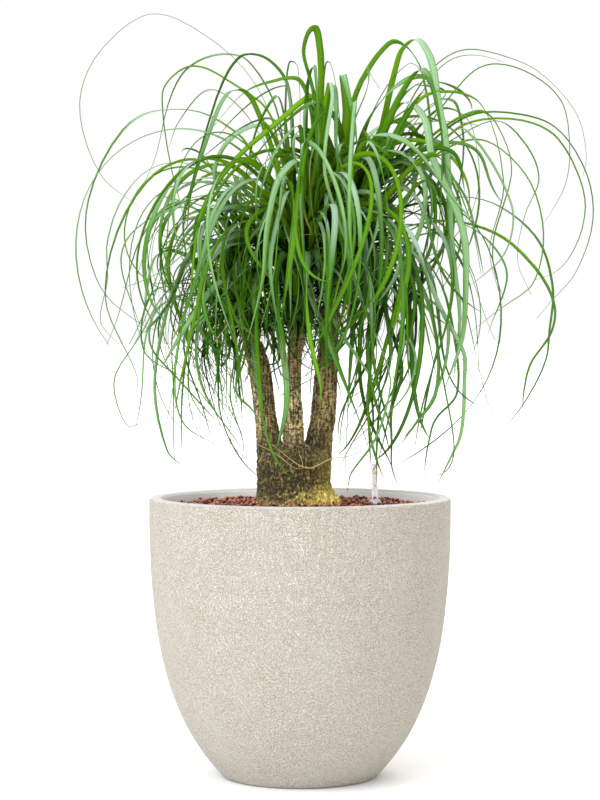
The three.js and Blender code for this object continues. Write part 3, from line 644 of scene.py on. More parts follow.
# %% Loft the wood and melt it together
def loft_wood(levels, sides, random):
    """Points and faces of closed wood over its levels, with slow lobes round it."""
    rows = smooth_line(levels, max(int((levels[-1][0] - levels[0][0]) / 3), 8))
    angle = np.arange(sides) * 2 * math.pi / sides
    phases = random.uniform(0, 6.3, 3)
    points = []
    for height, x, y, radius in rows:
        lobes = sum(np.sin(n * angle + p + height * 0.02) for n, p in zip((2, 3, 5), phases))
        r = radius * (1 + 0.012 * lobes)
        points.append(np.stack([x + r * np.cos(angle), y + r * np.sin(angle),
                                np.full(sides, height)], axis=-1))
    return np.vstack(points), closed_skin(len(points), sides)


def join_meshes(meshes):
    """Points and faces of several meshes as one."""
    points, faces, first = [], [], 0
    for more_points, more_faces in meshes:
        points.append(more_points)
        faces += [[corner + first for corner in face] for face in more_faces]
        first += len(more_points)
    return np.vstack(points), faces


def melted(points, faces, finish, name, pitch, rounds):
    """The solids joined by a voxel remesh and smoothed a little, as a piece."""
    rough = new_piece(name + "_rough", points * MM, faces, finish)
    remesh = rough.modifiers.new("melt", "REMESH")
    remesh.mode = "VOXEL"
    remesh.voxel_size = pitch
    soften = rough.modifiers.new("soften", "SMOOTH")
    soften.iterations = rounds
    graph = bpy.context.evaluated_depsgraph_get()
    mesh = bpy.data.meshes.new_from_object(rough.evaluated_get(graph))
    bpy.data.objects.remove(rough)
    mesh.polygons.foreach_set("use_smooth", [True] * len(mesh.polygons))
    piece = bpy.data.objects.new(name, mesh)
    bpy.context.collection.objects.link(piece)
    return piece


# %% Mix the bark's finish
def bark_finish():
    finish = Finish("corky_bark")
    cork = finish.kept("cork")
    moss, young = finish.kept("moss"), finish.kept("young")
    foot_part = finish.kept("foot")
    streaks = finish.speckle(1, 3, 0.6, finish.stretched(310, 38))
    warped = finish.bent(finish.places(), 55, (7, 7, 4), finish.stretched(250, 90))
    fibres = finish.speckle(1, 3, 0.6, warped)
    ticks = finish.speckle(1, 2, 0.5, finish.stretched(120, 400))
    crumbs = finish.speckle(560, 3)
    patches = finish.speckle(45, 4)
    cracked = finish.cracks(finish.stretched(230, 90)).step(0.02, 0.2)
    grain = (streaks - 0.5) * 2.2 + (ticks - 0.5) * 1.3
    grain = grain * (1 - foot_part) + (fibres - 0.5) * 3.4 * foot_part
    height = grain + (crumbs - 0.5) * 1.1
    raised = (height + cracked * 0.3 + cork * 0.35 + 0.02).step(0.05, 0.85)
    dark = finish.mix(patches, (0.030, 0.022, 0.008), (0.070, 0.050, 0.017))
    light = finish.mix(patches.step(0.3, 0.7), (0.33, 0.24, 0.085), (0.58, 0.44, 0.185))
    # Pale bark: the middle stem's own paler bark, and a painted highlight on the left stem's side
    # that faces the lamp.
    pale = finish.mix(finish.kept("pale"), light, (0.80, 0.63, 0.31))
    old = finish.mix(raised, dark, pale)
    olive = finish.mix(patches, (0.11, 0.083, 0.016), (0.25, 0.188, 0.044))
    foot = finish.mix(raised * raised * raised, (0.026, 0.020, 0.007), olive)
    mossy = finish.mix(raised, (0.44, 0.32, 0.055), (0.98, 0.76, 0.22))
    pink = finish.mix(raised, (0.17, 0.07, 0.04), (0.60, 0.34, 0.20))
    barked = finish.mix(foot_part, old, foot)
    colour = finish.mix(young, finish.mix(moss, barked, mossy), pink)
    # Painted shade: the bark is darkened towards near black in the crevices where the stems meet.
    shade = finish.mix(finish.kept("crevice"), colour, (0.018, 0.014, 0.006))
    relief = finish.relief(raised * 0.7 + crumbs * 0.3, 0.0013)
    return finish.made(Base_Color=shade, Roughness=0.88, Normal=relief)


# %% Measure on the wood
def smooth_step(low, high, values):
    share = np.clip((np.asarray(values, float) - low) / (high - low), 0, 1)
    return share * share * (3 - 2 * share)


def plates(point, width, height, seed):
    """How far a point lies from the nearest fissure between plates of this size."""
    scaled = Vector((point[0] / width + seed, point[1] / width, point[2] / height))
    wander = noise.noise_vector(scaled * 0.7) * 0.35
    near = noise.voronoi(scaled + wander)[0]
    return near[1] - near[0]


def near_stem(points, levels):
    """How near points lie to a stem's axis: 1 on its skin, 0 on its axis."""
    levels = np.array(levels, float)
    at = [np.interp(points[:, 2], levels[:, 0], levels[:, c]) for c in (1, 2, 3)]
    return np.hypot(points[:, 0] - at[0], points[:, 1] - at[1]) / at[2]


VOXEL, SMOOTHINGS, FOOT_SIDES, STEM_SIDES = 0.0013, 6, 64, 40
wood_random = np.random.default_rng(9)
wood_parts = [loft_wood(FOOT_LEVELS, FOOT_SIDES, wood_random)]
wood_parts += [loft_wood(levels, STEM_SIDES, wood_random) for levels in STEM_LEVELS.values()]
trunk = melted(*join_meshes(wood_parts), bark_finish(), "trunk_and_stems", VOXEL, SMOOTHINGS)
wood_points = points_of(trunk) / MM
print("wood:", len(wood_points), "points")

# %% Carve the bark
# The wandering of the fissures is random, so it gets a seed.
noise.seed_set(7)
normals = np.array([v.normal for v in trunk.data.vertices])
seen = wood_points[:, 2] > 380
is_foot = smooth_step(478, 440, wood_points[:, 2])
plate_gaps = np.array([plates(p, 6, 15, 0) if s else 1 for p, s in zip(wood_points, seen)])
streaks = np.array([noise.fractal(Vector((p[0] / 4.2, p[1] / 4.2, p[2] / 24)), 0.8, 2.0, 3)
                    if s else 0 for p, s in zip(wood_points, seen)])
height = wood_points[:, 2]
by_stem = {name: near_stem(wood_points, levels) for name, levels in STEM_LEVELS.items()}
is_nearest = {name: by_stem[name] <= np.min(list(by_stem.values()), axis=0) for name in by_stem}
on_middle = smooth_step(545, 610, height) * is_nearest["middle"]
rough = np.array([noise.fractal(Vector(p) * 0.22, 0.7, 2.1, 4) if s else 0
                  for p, s in zip(wood_points, seen)])
cork = (0.65 * smooth_step(-0.3, 0.3, streaks + rough * 0.2)
        + 0.35 * smooth_step(0.0, 0.3, plate_gaps + rough * 0.08))
scars = smooth_step(-0.2, 0.3, np.sin(height * 1.15 + 1.5 * np.sin(height * 0.31) + rough * 2))
cork = cork * (1 - on_middle) + on_middle * (0.5 + 0.5 * scars)
depth = (1.5 + 0.7 * is_foot) * (1 - 0.6 * on_middle)
flare = np.exp(-(((wood_points - (34, -40, 392)) / (34, 34, 17)) ** 2).sum(1)) * 4.5
knobs = np.exp(-(((wood_points - (-46, -34, 392)) / (16, 22, 15)) ** 2).sum(1)) * 2.5
lift = ((cork - 0.6) * depth + rough * (0.8 + 0.8 * is_foot) + flare + knobs) * seen
move_points(trunk, (wood_points + normals * lift[:, None]) * MM)
print("bark carved on", int(seen.sum()), "points")

# %% Tint the bark
moss = smooth_step(425, 396, height) * smooth_step(-8, 26, wood_points[:, 0] + rough * 26)
moss += smooth_step(402, 388, height) * 0.35 + smooth_step(0.35, 0.7, rough) * is_foot * 0.4
right_side = smooth_step(0.3, 0.95, normals[:, 0]) * smooth_step(560, 440, height)
# Painted shade in the crevices where the stems part, between 442 and 535 mm high.
crevice = np.zeros(len(height))
for name, near in by_stem.items():
    others = np.min([by_stem[other] for other in by_stem if other != name], axis=0)
    crevice = np.maximum(crevice, is_nearest[name] * smooth_step(1.75, 1.2, others))
crevice *= smooth_step(442, 470, height) * smooth_step(535, 490, height)
keep_on_points(trunk, "cork", np.clip(cork + rough * 0.25, 0, 1))
keep_on_points(trunk, "moss", np.clip(moss + right_side * 0.3, 0, 1))
keep_on_points(trunk, "foot", smooth_step(506, 464, height) * 0.8)
keep_on_points(trunk, "young", np.clip(on_middle * (0.75 + rough * 0.5), 0, 1))
keep_on_points(trunk, "crevice", np.clip(crevice, 0, 0.85))
# Pale bark: the middle stem's own paler bark, and a painted highlight on the left stem's side that
# faces the lamp.
pale = is_nearest["middle"] * smooth_step(455, 475, height) * smooth_step(590, 540, height)
pale = pale + is_nearest["left"] * smooth_step(0.2, -0.5, normals[:, 0]) * (1 - is_foot) * 0.8
keep_on_points(trunk, "pale", np.clip(pale * (0.8 + rough), 0, 1))
put(trunk, "bark", "trunk")

# %% [markdown]
# ## Leaves
# A ponytail palm's leaves are straps up to a metre long. They leave the crown steeply, arch over
# and hang, and taper to a thread. The solids place the main ones: a list of the leaves that draw
# the outline, and a seeded rule for the others, which turns each leaf by the golden angle, as
# plants do. The same list and rule run here, so the fine leaves lie where the solids are, and
# more of them fill the crown.

# %% Name the sizes of the crowns
CROWNS = {
    "left": {"base": (-68, 18, 622.3), "lean": (-0.2, 0.1), "seed": 11},
    "middle": {"base": (-4, -14, 626.3), "lean": (0.04, -0.1), "seed": 23},
    "right": {"base": (51, 12, 697.3), "lean": (0.24, 0), "seed": 37},
}
GROWN_LEAVES, GROWTH_ATTEMPTS, LINE_STEPS, PACKED_STEPS = 18, 14, 28, 6
LEAF_FLOOR, LEAF_CLEARANCE, CROWN_CLEARANCE = 424, 7, 15
TRUNK_VIEW, TRUNK_PEEK = (-84, 78, 625), (-66, 52, 600)
FOLIAGE_LOW, FOLIAGE_HIGH, FOLIAGE_TOP = (-312, -320), (400, 320), 1065
DEPTH_SHIFTS = [0, 16, -16, 32, -32, 48, -48, 64, -64, 80, -80]
GAUGE_TOP, GOLDEN_ANGLE, GOLDEN_SHARE = 446.5, 137.508, 0.618
print("crowns at", {name: crown["base"] for name, crown in CROWNS.items()})

# %% List the leaves that draw the outline
# crown, depth of the tip, width, then the [x, z] points that the leaf passes
LEADING_LEAVES = [
    ("middle", 60, 5, (-25, 880), (-60, 985), (-125, 1055), (-215, 1095), (-295, 1035), (-320, 960),
     (-290, 865), (-230, 815)),
    ("middle", 40, 7, (-70, 895), (-130, 945), (-185, 955), (-240, 940), (-290, 870), (-310, 785),
     (-285, 695), (-225, 645), (-195, 635)),
    ("middle", 20, 9, (-10, 895), (-20, 995), (-55, 1030), (-85, 1030), (-110, 995), (-130, 940),
     (-150, 870), (-165, 805), (-170, 740)),
    ("middle", 60, 7, (-30, 940), (-75, 1025), (-120, 1035), (-165, 1015), (-190, 970), (-210, 890),
     (-230, 845)),
    ("middle", 80, 6, (-40, 940), (-100, 995), (-155, 1020), (-195, 995), (-200, 960), (-190, 885),
     (-170, 805), (-160, 765)),
    ("middle", -60, 10, (20, 910), (0, 990), (-50, 985), (-80, 970), (-120, 925)),
    ("middle", -110, 10, (30, 880), (20, 965), (-35, 925), (-90, 875), (-135, 805), (-150, 710),
     (-155, 625)),
    ("middle", -90, 12, (25, 880), (30, 1015), (20, 1064), (5, 1030), (20, 965), (25, 880),
     (25, 780)),
    ("middle", 60, 7, (-20, 895), (-20, 985), (-15, 1025), (-5, 1025), (0, 985), (0, 925)),
    ("right", 60, 7, (60, 895), (50, 1000), (40, 1030), (35, 1005), (30, 940), (25, 870)),
    ("left", 40, 8, (-100, 840), (-165, 880), (-220, 870), (-260, 825), (-280, 765), (-280, 710),
     (-290, 650), (-260, 615)),
    ("left", -20, 9, (-85, 810), (-140, 880), (-195, 870), (-240, 820), (-270, 745), (-275, 675),
     (-250, 615), (-230, 570), (-235, 540)),
    ("left", 10, 7, (-90, 725), (-140, 725), (-195, 690), (-230, 630), (-265, 575), (-265, 540),
     (-245, 500), (-215, 515)),
    ("left", -60, 7, (-105, 755), (-165, 725), (-195, 640), (-205, 550), (-185, 465), (-160, 445)),
    ("left", 60, 6, (-90, 760), (-150, 740), (-185, 640), (-185, 550), (-185, 465), (-180, 420)),
    ("left", -90, 7, (-90, 740), (-140, 715), (-170, 625), (-175, 550), (-160, 505), (-120, 480)),
    ("left", 50, 6, (-100, 710), (-140, 680), (-160, 595), (-160, 550), (-145, 520), (-130, 505),
     (-110, 500)),
    ("middle", -120, 12, (5, 755), (5, 870), (-30, 840), (-40, 780), (-55, 695), (-60, 640),
     (-55, 565), (-50, 500)),
    ("middle", -80, 8, (25, 780), (10, 840), (20, 775), (30, 695), (50, 645), (95, 580),
     (120, 540)),
    ("middle", -120, 10, (-5, 710), (0, 735), (15, 685), (35, 635), (60, 570), (85, 505),
     (95, 475)),
    ("middle", -130, 12, (25, 765), (20, 840), (40, 825), (60, 775), (85, 680), (115, 605),
     (125, 565), (105, 490), (70, 440), (65, 415)),
    ("right", -90, 8, (80, 790), (105, 805), (130, 780), (170, 735), (195, 675), (210, 645),
     (230, 605), (230, 575), (225, 495), (205, 450), (190, 420)),
    ("right", -20, 12, (65, 855), (75, 960), (100, 1015), (135, 1050), (165, 1025), (180, 975),
     (190, 895), (200, 840), (195, 755), (185, 680)),
    ("right", -60, 12, (110, 895), (135, 1005), (150, 1045), (165, 1050), (185, 1020), (195, 955),
     (205, 910), (210, 825), (215, 740), (225, 655), (215, 565)),
    ("right", -100, 12, (105, 885), (125, 935), (150, 960), (175, 935), (185, 880), (215, 815),
     (230, 760), (230, 680), (225, 625), (200, 555)),
    ("right", 80, 5, (145, 925), (195, 1010), (225, 1035), (260, 1040), (300, 1030)),
    ("right", 90, 5, (145, 940), (190, 1015), (235, 1045), (290, 1040), (350, 1015), (405, 955),
     (420, 895), (415, 865)),
    ("right", 50, 5, (160, 895), (220, 980), (265, 1020), (320, 1015), (375, 975), (390, 920),
     (385, 850), (345, 780)),
    ("right", 10, 7, (175, 895), (240, 945), (300, 950), (365, 930), (410, 865), (420, 795),
     (395, 720), (360, 680), (340, 655)),
    ("right", -10, 7, (175, 870), (230, 930), (305, 940), (365, 915), (405, 835), (400, 775),
     (370, 725), (335, 710)),
    ("right", 40, 8, (175, 880), (215, 910), (285, 940), (330, 900), (345, 855), (325, 805),
     (315, 740), (335, 690)),
    ("right", -40, 7, (175, 875), (255, 910), (320, 860), (345, 780), (330, 705), (285, 670),
     (240, 635)),
    ("right", 30, 7, (160, 805), (230, 830), (290, 815), (345, 765), (365, 695), (360, 640),
     (355, 595), (325, 535), (290, 490)),
    ("right", -50, 9, (145, 775), (200, 795), (280, 775), (335, 725), (360, 675), (355, 635),
     (325, 590), (315, 545), (315, 520)),
    ("right", -30, 8, (145, 870), (200, 925), (260, 950), (290, 910), (300, 860), (275, 770),
     (275, 725), (290, 680)),
    ("right", 40, 9, (130, 880), (185, 960), (220, 970), (235, 925), (235, 880), (225, 815),
     (220, 740)),
    ("right", 0, 9, (145, 895), (200, 955), (240, 940), (255, 885), (255, 840), (245, 805),
     (230, 755)),
    ("right", -40, 10, (145, 840), (205, 860), (235, 825), (250, 765), (260, 715)),
    ("right", -60, 7, (145, 765), (200, 775), (240, 730), (255, 665), (245, 610), (215, 580),
     (200, 575)),
    ("right", -60, 8, (130, 755), (175, 695), (195, 610), (190, 545), (165, 510), (140, 475)),
    ("right", 20, 7, (145, 765), (200, 710), (225, 610), (225, 545), (195, 510), (185, 475),
     (180, 440), (182, 420)),
    ("right", -40, 9, (110, 695), (130, 640), (145, 580), (130, 525), (130, 480), (130, 445),
     (140, 415)),
    ("middle", -70, 11, (-25, 725), (-40, 705), (-30, 640), (-20, 580), (-20, 525), (-35, 465)),
    ("middle", -40, 12, (-5, 740), (-10, 840), (-5, 875), (10, 855), (20, 780)),
    ("left", -75, 8, (-70, 695), (-70, 655), (-60, 565), (-50, 505), (-35, 460), (-10, 430)),
    ("left", -90, 6, (-85, 725), (-110, 665), (-115, 580), (-110, 515), (-80, 455), (-40, 420)),
]
print("leading leaves:", len(LEADING_LEAVES))

# %% List the near leaves
# These stand in front of the hearts, and are written in the same form.
NEAR_LEAVES = [
    ("middle", -210, 11, (0, 780), (5, 850), (-5, 870), (-30, 840), (-45, 770), (-50, 705),
     (-70, 625)),
    ("middle", -190, 9.5, (0, 750), (-5, 805), (-15, 830), (-30, 790), (-40, 730), (-35, 675),
     (-20, 600)),
    ("middle", -130, 9, (5, 795), (10, 975), (20, 1005), (25, 915), (25, 885), (15, 835)),
    ("middle", -170, 8, (10, 780), (40, 980), (45, 960), (35, 895), (35, 845), (65, 750),
     (90, 660)),
    ("middle", -110, 10.5, (15, 795), (45, 980), (50, 960), (50, 890), (60, 820)),
    ("right", -90, 13, (50, 805), (65, 940), (60, 995), (75, 930), (80, 890)),
    ("middle", -170, 7.5, (15, 750), (10, 880), (0, 855), (5, 745), (10, 645)),
    ("middle", -60, 11, (-5, 690), (-5, 825)),
    ("middle", -50, 9, (5, 695), (5, 790)),
    ("middle", -50, 7.5, (-10, 825), (-15, 980), (-45, 975), (-90, 940), (-120, 905)),
    ("middle", -140, 9.5, (-20, 825), (-70, 965), (-100, 965), (-130, 895), (-150, 825),
     (-155, 770)),
    ("middle", -120, 8, (10, 795), (30, 950), (10, 950), (-35, 910), (-85, 850)),
    ("middle", -150, 8.5, (0, 795), (0, 920), (-30, 890), (-50, 840), (-60, 790)),
    ("middle", -80, 7, (-10, 825), (-30, 965), (-60, 920), (-80, 830)),
    ("middle", 10, 7.5, (-15, 825), (-35, 935), (-75, 930), (-150, 875)),
    ("middle", 40, 6.5, (-25, 840), (-75, 945), (-130, 985), (-175, 940), (-190, 900)),
    ("middle", -190, 9.5, (-20, 785), (-60, 815), (-95, 795), (-110, 715), (-115, 620)),
    ("middle", -170, 9, (-35, 795), (-85, 840), (-120, 795), (-135, 695), (-140, 610)),
    ("left", -190, 10.5, (-80, 695), (-110, 705), (-145, 660), (-190, 585)),
    ("left", -60, 12, (-70, 695), (-80, 790)),
    ("left", -40, 9, (-65, 695), (-70, 770)),
    ("left", -90, 8, (-80, 680), (-90, 735), (-85, 665), (-75, 610)),
    ("middle", -30, 4.5, (-55, 825), (-130, 845), (-205, 780), (-240, 685)),
    ("middle", 20, 6.5, (-55, 805), (-125, 815), (-175, 765), (-195, 700)),
    ("middle", -80, 4.5, (-65, 815), (-150, 825), (-235, 775), (-250, 730), (-220, 635)),
    ("left", -70, 8, (-105, 705), (-175, 750), (-205, 740), (-220, 660)),
    ("left", -20, 6, (-120, 725), (-200, 785), (-215, 740), (-200, 675)),
    ("left", -110, 5.5, (-110, 680), (-195, 675), (-210, 620), (-165, 565), (-110, 505)),
    ("left", -60, 4.5, (-120, 690), (-205, 695), (-220, 610), (-150, 565)),
    ("left", -130, 6, (-95, 665), (-140, 645), (-135, 560), (-80, 475)),
    ("left", -110, 6, (-70, 655), (-90, 555), (-65, 525), (-55, 505)),
    ("right", -40, 11, (65, 775), (100, 940), (155, 1015), (190, 975)),
    ("right", -110, 12, (70, 775), (130, 945), (170, 1000), (195, 920), (195, 815)),
    ("right", -70, 12.5, (70, 765), (130, 905), (170, 970), (180, 965)),
    ("right", -20, 11, (70, 760), (125, 895), (160, 940)),
    ("right", -120, 10, (80, 765), (145, 855), (190, 880), (235, 790), (250, 715)),
    ("right", 40, 9, (75, 770), (125, 930), (160, 960), (170, 950)),
    ("right", -170, 8.5, (75, 750), (105, 800), (135, 750), (140, 650), (120, 515)),
    ("right", -80, 6.5, (105, 825), (170, 965), (250, 960), (285, 845), (265, 750), (280, 685)),
    ("right", -90, 5.5, (115, 825), (190, 895), (230, 920), (295, 815), (285, 745), (230, 695)),
    ("right", -150, 7, (120, 790), (175, 845), (205, 770), (215, 715)),
    ("right", -60, 5.5, (100, 770), (225, 790), (290, 725), (265, 635)),
    ("right", -110, 6.5, (130, 705), (200, 665), (205, 605), (180, 535), (140, 485)),
    ("right", -120, 5.5, (100, 705), (160, 610), (150, 555), (115, 515)),
    ("right", -100, 7.5, (80, 715), (130, 695), (145, 630), (135, 585)),
    ("right", -50, 7, (85, 740), (155, 700), (195, 615)),
]
print("near leaves:", len(NEAR_LEAVES))

# %% Grow single leaves
def draws(seed):
    """Seeded numbers from 0 to 1, the same as the solids use."""
    state = seed
    while True:
        state = (1664525 * state + 1013904223) % 4294967296
        yield state / 4294967296


def leaf_root(crown, rise):
    """Where a leaf leaves the crown's axis."""
    x, y, z = crown["base"]
    rise = np.asarray(rise, float)
    return np.stack([x + crown["lean"][0] * rise, y + crown["lean"][1] * rise, z + rise], axis=-1)


def leading_line(crown, rise, depth, way):
    """The midline of a listed leaf whose tip lies at a depth."""
    root = leaf_root(crown, rise)
    through = [root]
    for i, (x, z) in enumerate(way):
        spread = math.sin((math.pi / 2) * ((i + 1) / len(way)))
        through.append((x, root[1] + (depth - root[1]) * spread, z))
    return smooth_line(through, LINE_STEPS)


def grown_line(crown, age, bearing, draw, reach=1, stiffness=1, drape=210):
    """The midline of a leaf that grows out at a bearing, arches over, hangs and curls."""
    launch = math.radians(84 - 72 * age + 12 * (next(draw) - 0.5))
    hang = math.radians(-96 + 50 * (next(draw) - 0.5))
    length = (690 - 300 * age) * (0.55 + 0.5 * next(draw)) * reach
    bend = (0.56 - 0.26 * age) * (0.8 + 0.35 * next(draw)) * stiffness
    swing = math.radians(130 * (next(draw) - 0.5))
    floor = LEAF_FLOOR + drape * next(draw)
    curl = math.radians(150 * (next(draw) - 0.5))
    root = leaf_root(crown, 70 - 52 * age)
    t = (np.arange(LINE_STEPS) + 0.5) / LINE_STEPS
    rise = launch - (launch - hang) * (1 - np.exp(-((t / bend) ** 2.4)))
    rise = rise + curl * np.maximum(t - 0.55, 0) ** 1.5 / 0.45 ** 1.5
    turn = math.radians(bearing) + swing * t * t
    steps = np.stack([np.cos(rise) * np.cos(turn), np.cos(rise) * np.sin(turn), np.sin(rise)], -1)
    line = np.vstack([root, root + np.cumsum(steps, axis=0) * length / LINE_STEPS])
    lowest = line[:, 2].min()
    fit = (root[2] - floor) / (root[2] - lowest) if lowest < floor else 1
    return (line - root) * fit + root


trial = grown_line(CROWNS["middle"], 0.1, 0, draws(1))
print("a trial leaf rises to", round(trial[:, 2].max()), "and hangs to", round(trial[-1, 2]), "mm")

# %% Keep leaves out of the wood and of each other
def is_inside(line, view=TRUNK_VIEW):
    """Whether a midline stays in the space that the foliage fills, and leaves the trunk in view."""
    left, right, top = view
    x, z = line[:, 0], line[:, 2]
    return bool((line[:, :2] > FOLIAGE_LOW).all() and (line[:, :2] < FOLIAGE_HIGH).all()
                and (z < FOLIAGE_TOP).all() and not ((x > left) & (x < right) & (z < top)).any())


def misses_the_rest(line, name):
    """Whether a midline keeps clear of planter, gauge, wood and the hearts of other crowns."""
    x, y, z = line.T
    if ((z < POT_HEIGHT + 12) & (np.hypot(x, y) < POT_RADIUS + 12)).any():
        return False
    if ((z < GAUGE_TOP + 8) & (np.hypot(x - GAUGE[0], y - GAUGE[1]) < 17)).any():
        return False
    for levels in (FOOT_LEVELS, *STEM_LEVELS.values()):
        levels = np.array(levels, float)
        beside = (z > levels[0, 0]) & (z <= levels[-1, 0])
        at = [np.interp(z, levels[:, 0], levels[:, c]) for c in (1, 2, 3)]
        if (beside & (np.hypot(x - at[0], y - at[1]) <= at[2] + 9)).any():
            return False
    for other, crown in CROWNS.items():
        heart = leaf_root(crown, np.clip(z - crown["base"][2], 0, 96))
        if other != name and (np.linalg.norm(heart - line, axis=1) <= 34).any():
            return False
    return True


def is_clear(line, name, grown, spacing):
    """Whether a midline also keeps clear of the leaves that grew before it."""
    if not misses_the_rest(line, name):
        return False
    for leaf in grown:
        same = leaf["crown"] == name
        packed = (PACKED_STEPS, PACKED_STEPS) if same else (2, 0)
        mine, theirs = line[packed[0]:], leaf["line"][packed[1]:]
        gaps = np.linalg.norm(mine[:, None] - theirs[None], axis=2)
        if gaps.min() <= (spacing if same else CROWN_CLEARANCE):
            return False
    return True


print("the trial leaf is clear:", is_clear(trial, "middle", [], 0))

# %% Grow the leaves of the solids
NEAR_DEPTH, FAR_WIDTHS = -60, {"left": 0.15, "middle": 0.5, "right": 0.38}


def grow_main_leaves():
    """The leaves that the solids hold: crown, midline in millimetres, width and age."""
    grown, counts = [], dict.fromkeys(CROWNS, 0)
    for name, depth, width, *way in LEADING_LEAVES + NEAR_LEAVES:
        rise = 22 + 44 * ((counts[name] * GOLDEN_SHARE) % 1)
        lines = [leading_line(CROWNS[name], rise, depth + s, way) for s in DEPTH_SHIFTS]
        line = next((one for one in lines if is_clear(one, name, grown, 0)), lines[0])
        counts[name] += 1
        near = depth <= NEAR_DEPTH
        share = 0.6 if near else FAR_WIDTHS[name]
        grown.append({"crown": name, "line": line, "age": 0.2 if near else 0.3, "near": near,
                      "width": width * share + 0.038 * width ** 2})
    random = {name: draws(crown["seed"]) for name, crown in CROWNS.items()}
    for n in range(GROWN_LEAVES):
        for name, crown in CROWNS.items():
            draw = random[name]
            for attempt in range(GROWTH_ATTEMPTS):
                age = (n + next(draw)) / GROWN_LEAVES
                bearing = n * GOLDEN_ANGLE + 360 * attempt * next(draw)
                line = grown_line(crown, age, bearing, draw)
                width = 7 + 4 * next(draw)
                if is_inside(line) and is_clear(line, name, grown, LEAF_CLEARANCE):
                    width = width * (0.6 if age > 0.25 else 0.9)
                    grown.append({"crown": name, "line": line, "width": width, "age": age})
                    break
    return grown


leaves = grow_main_leaves()
print("main leaves:", {name: sum(l["crown"] == name for l in leaves) for name in CROWNS})

# %% [markdown]
# ## More leaves
# A real crown has a few kinds of leaf at once. Young ones stand in an upright spear at its heart.
# The grown ones make the fountain. Old ones are thinner, darker and hang in a tangled skirt.
# Each kind is the same rule with its own ages, widths and share of the circle.

# %% Fill the crowns
FILLING = [
    # crown, count, youngest and oldest age, narrowest and widest, bearing, its spread, reach,
    # stiffness, and how far above the lowest level the tips may end
    ("right", 18, 0.02, 0.16, 8, 12, 330, 220, 0.72, 1),
    ("right", 20, 0.0, 0.3, 8, 12, 310, 130, 0.6, 1.7),
    ("right", 14, 0.0, 0.16, 6, 9, 180, 360, 0.62, 1),
    ("right", 14, 0.15, 0.75, 4, 8, 180, 200, 0.75, 1),
    ("right", 12, 0.5, 1.0, 4, 7, 180, 260, 1.1, 1),
    ("right", 12, 0.05, 0.45, 7, 11, 240, 140, 0.85, 1),
    ("right", 26, 0.5, 0.85, 6, 10, 322, 95, 1.4, 0.75, 60),
    ("right", 32, 0.15, 1.0, 4.5, 8, 180, 320, 0.42, 2.2),
    ("middle", 50, 0.0, 0.25, 7, 11, 180, 320, 0.62, 1),
    ("middle", 48, 0.15, 0.75, 4, 8, 180, 360, 0.72, 1),
    ("middle", 24, 0.6, 1.05, 4, 7, 0, 360, 0.75, 1),
    ("middle", 40, 0.02, 0.35, 7, 12, 270, 150, 1.0, 1),
    ("middle", 22, 0.05, 0.4, 3.5, 6, 175, 130, 1.1, 1),
    ("middle", 50, 0.15, 1.05, 4, 7, 0, 360, 0.42, 2.2),
    ("left", 16, 0.0, 0.2, 6, 10, 180, 280, 0.6, 1),
    ("left", 32, 0.15, 0.8, 3, 6, 180, 360, 0.75, 1),
    ("left", 16, 0.6, 1.05, 3, 6, 180, 320, 1.0, 1),
    ("left", 26, 0.45, 0.9, 2.5, 4.5, 180, 180, 0.85, 1),
    ("left", 44, 0.15, 1.05, 4, 7, 180, 360, 0.5, 2.2),
]


def waved(line, draw):
    """The line with slow waves towards its tip, which swings back under the crown."""
    t = np.linspace(0, 1, len(line))[:, None]
    sway = np.array([60, 60, 30]) * [next(draw) - 0.5 for _ in range(3)]
    back = (line[0] - line) * (1, 1, 0) * (0.75 * next(draw) * t ** 3)
    return line + back + sway * np.sin(t * (6 + 4 * next(draw)) + 6 * next(draw)) * t * t


def fill_crowns():
    """Extra leaves of each kind. They may brush past each other, as real ones do."""
    extra = []
    draw = draws(71)
    for name, count, young, old, narrow, wide, bearing, spread, *build in FILLING:
        for n in range(count):
            for _ in range(20):
                age = young + (old - young) * (n + next(draw)) / count
                share = (n * GOLDEN_SHARE) % 1
                turn = bearing + spread * (share - 0.5) + 30 * (next(draw) - 0.5)
                line = waved(grown_line(CROWNS[name], age, turn, draw, *build), draw)
                width = narrow + (wide - narrow) * next(draw)
                peek = (*TRUNK_PEEK[:2], TRUNK_PEEK[2] - 80 * next(draw))
                if is_inside(line, peek) and misses_the_rest(line, name):
                    extra.append({"crown": name, "line": line, "width": width, "age": age})
                    break
    return extra


leaves += fill_crowns()
print("all leaves:", {name: sum(l["crown"] == name for l in leaves) for name in CROWNS})

# %% Find the leaves that lie in the shade
SHADE_CELL = 22
TOWARDS_LIGHT = np.array([-0.2, -0.85, 0.45]) * SHADE_CELL


def find_shade(leaves):
    """Gives each leaf the shade along its line, from the leaves that lie over it."""
    lines = np.array([leaf["line"] for leaf in leaves])
    low = lines.min((0, 1)) - 9 * SHADE_CELL
    cells = ((lines.max((0, 1)) - low) // SHADE_CELL).astype(int) + 10
    count = np.zeros(cells)
    own = ((lines - low) // SHADE_CELL).astype(int)
    np.add.at(count, tuple(own.reshape(-1, 3).T), 1)
    over = np.zeros(lines.shape[:2])
    for step in range(1, 8):
        cell = ((lines + TOWARDS_LIGHT * step - low) // SHADE_CELL).astype(int)
        over += count[tuple(np.moveaxis(cell, -1, 0))]
    for leaf, shade in zip(leaves, 1 - np.exp(-0.15 * np.maximum(over - 5, 0))):
        leaf["shade"] = np.convolve(np.pad(shade, 2, "edge"), np.ones(5) / 5, "valid")


find_shade(leaves)
print("mean shade:", round(float(np.mean([leaf["shade"].mean() for leaf in leaves])), 2))

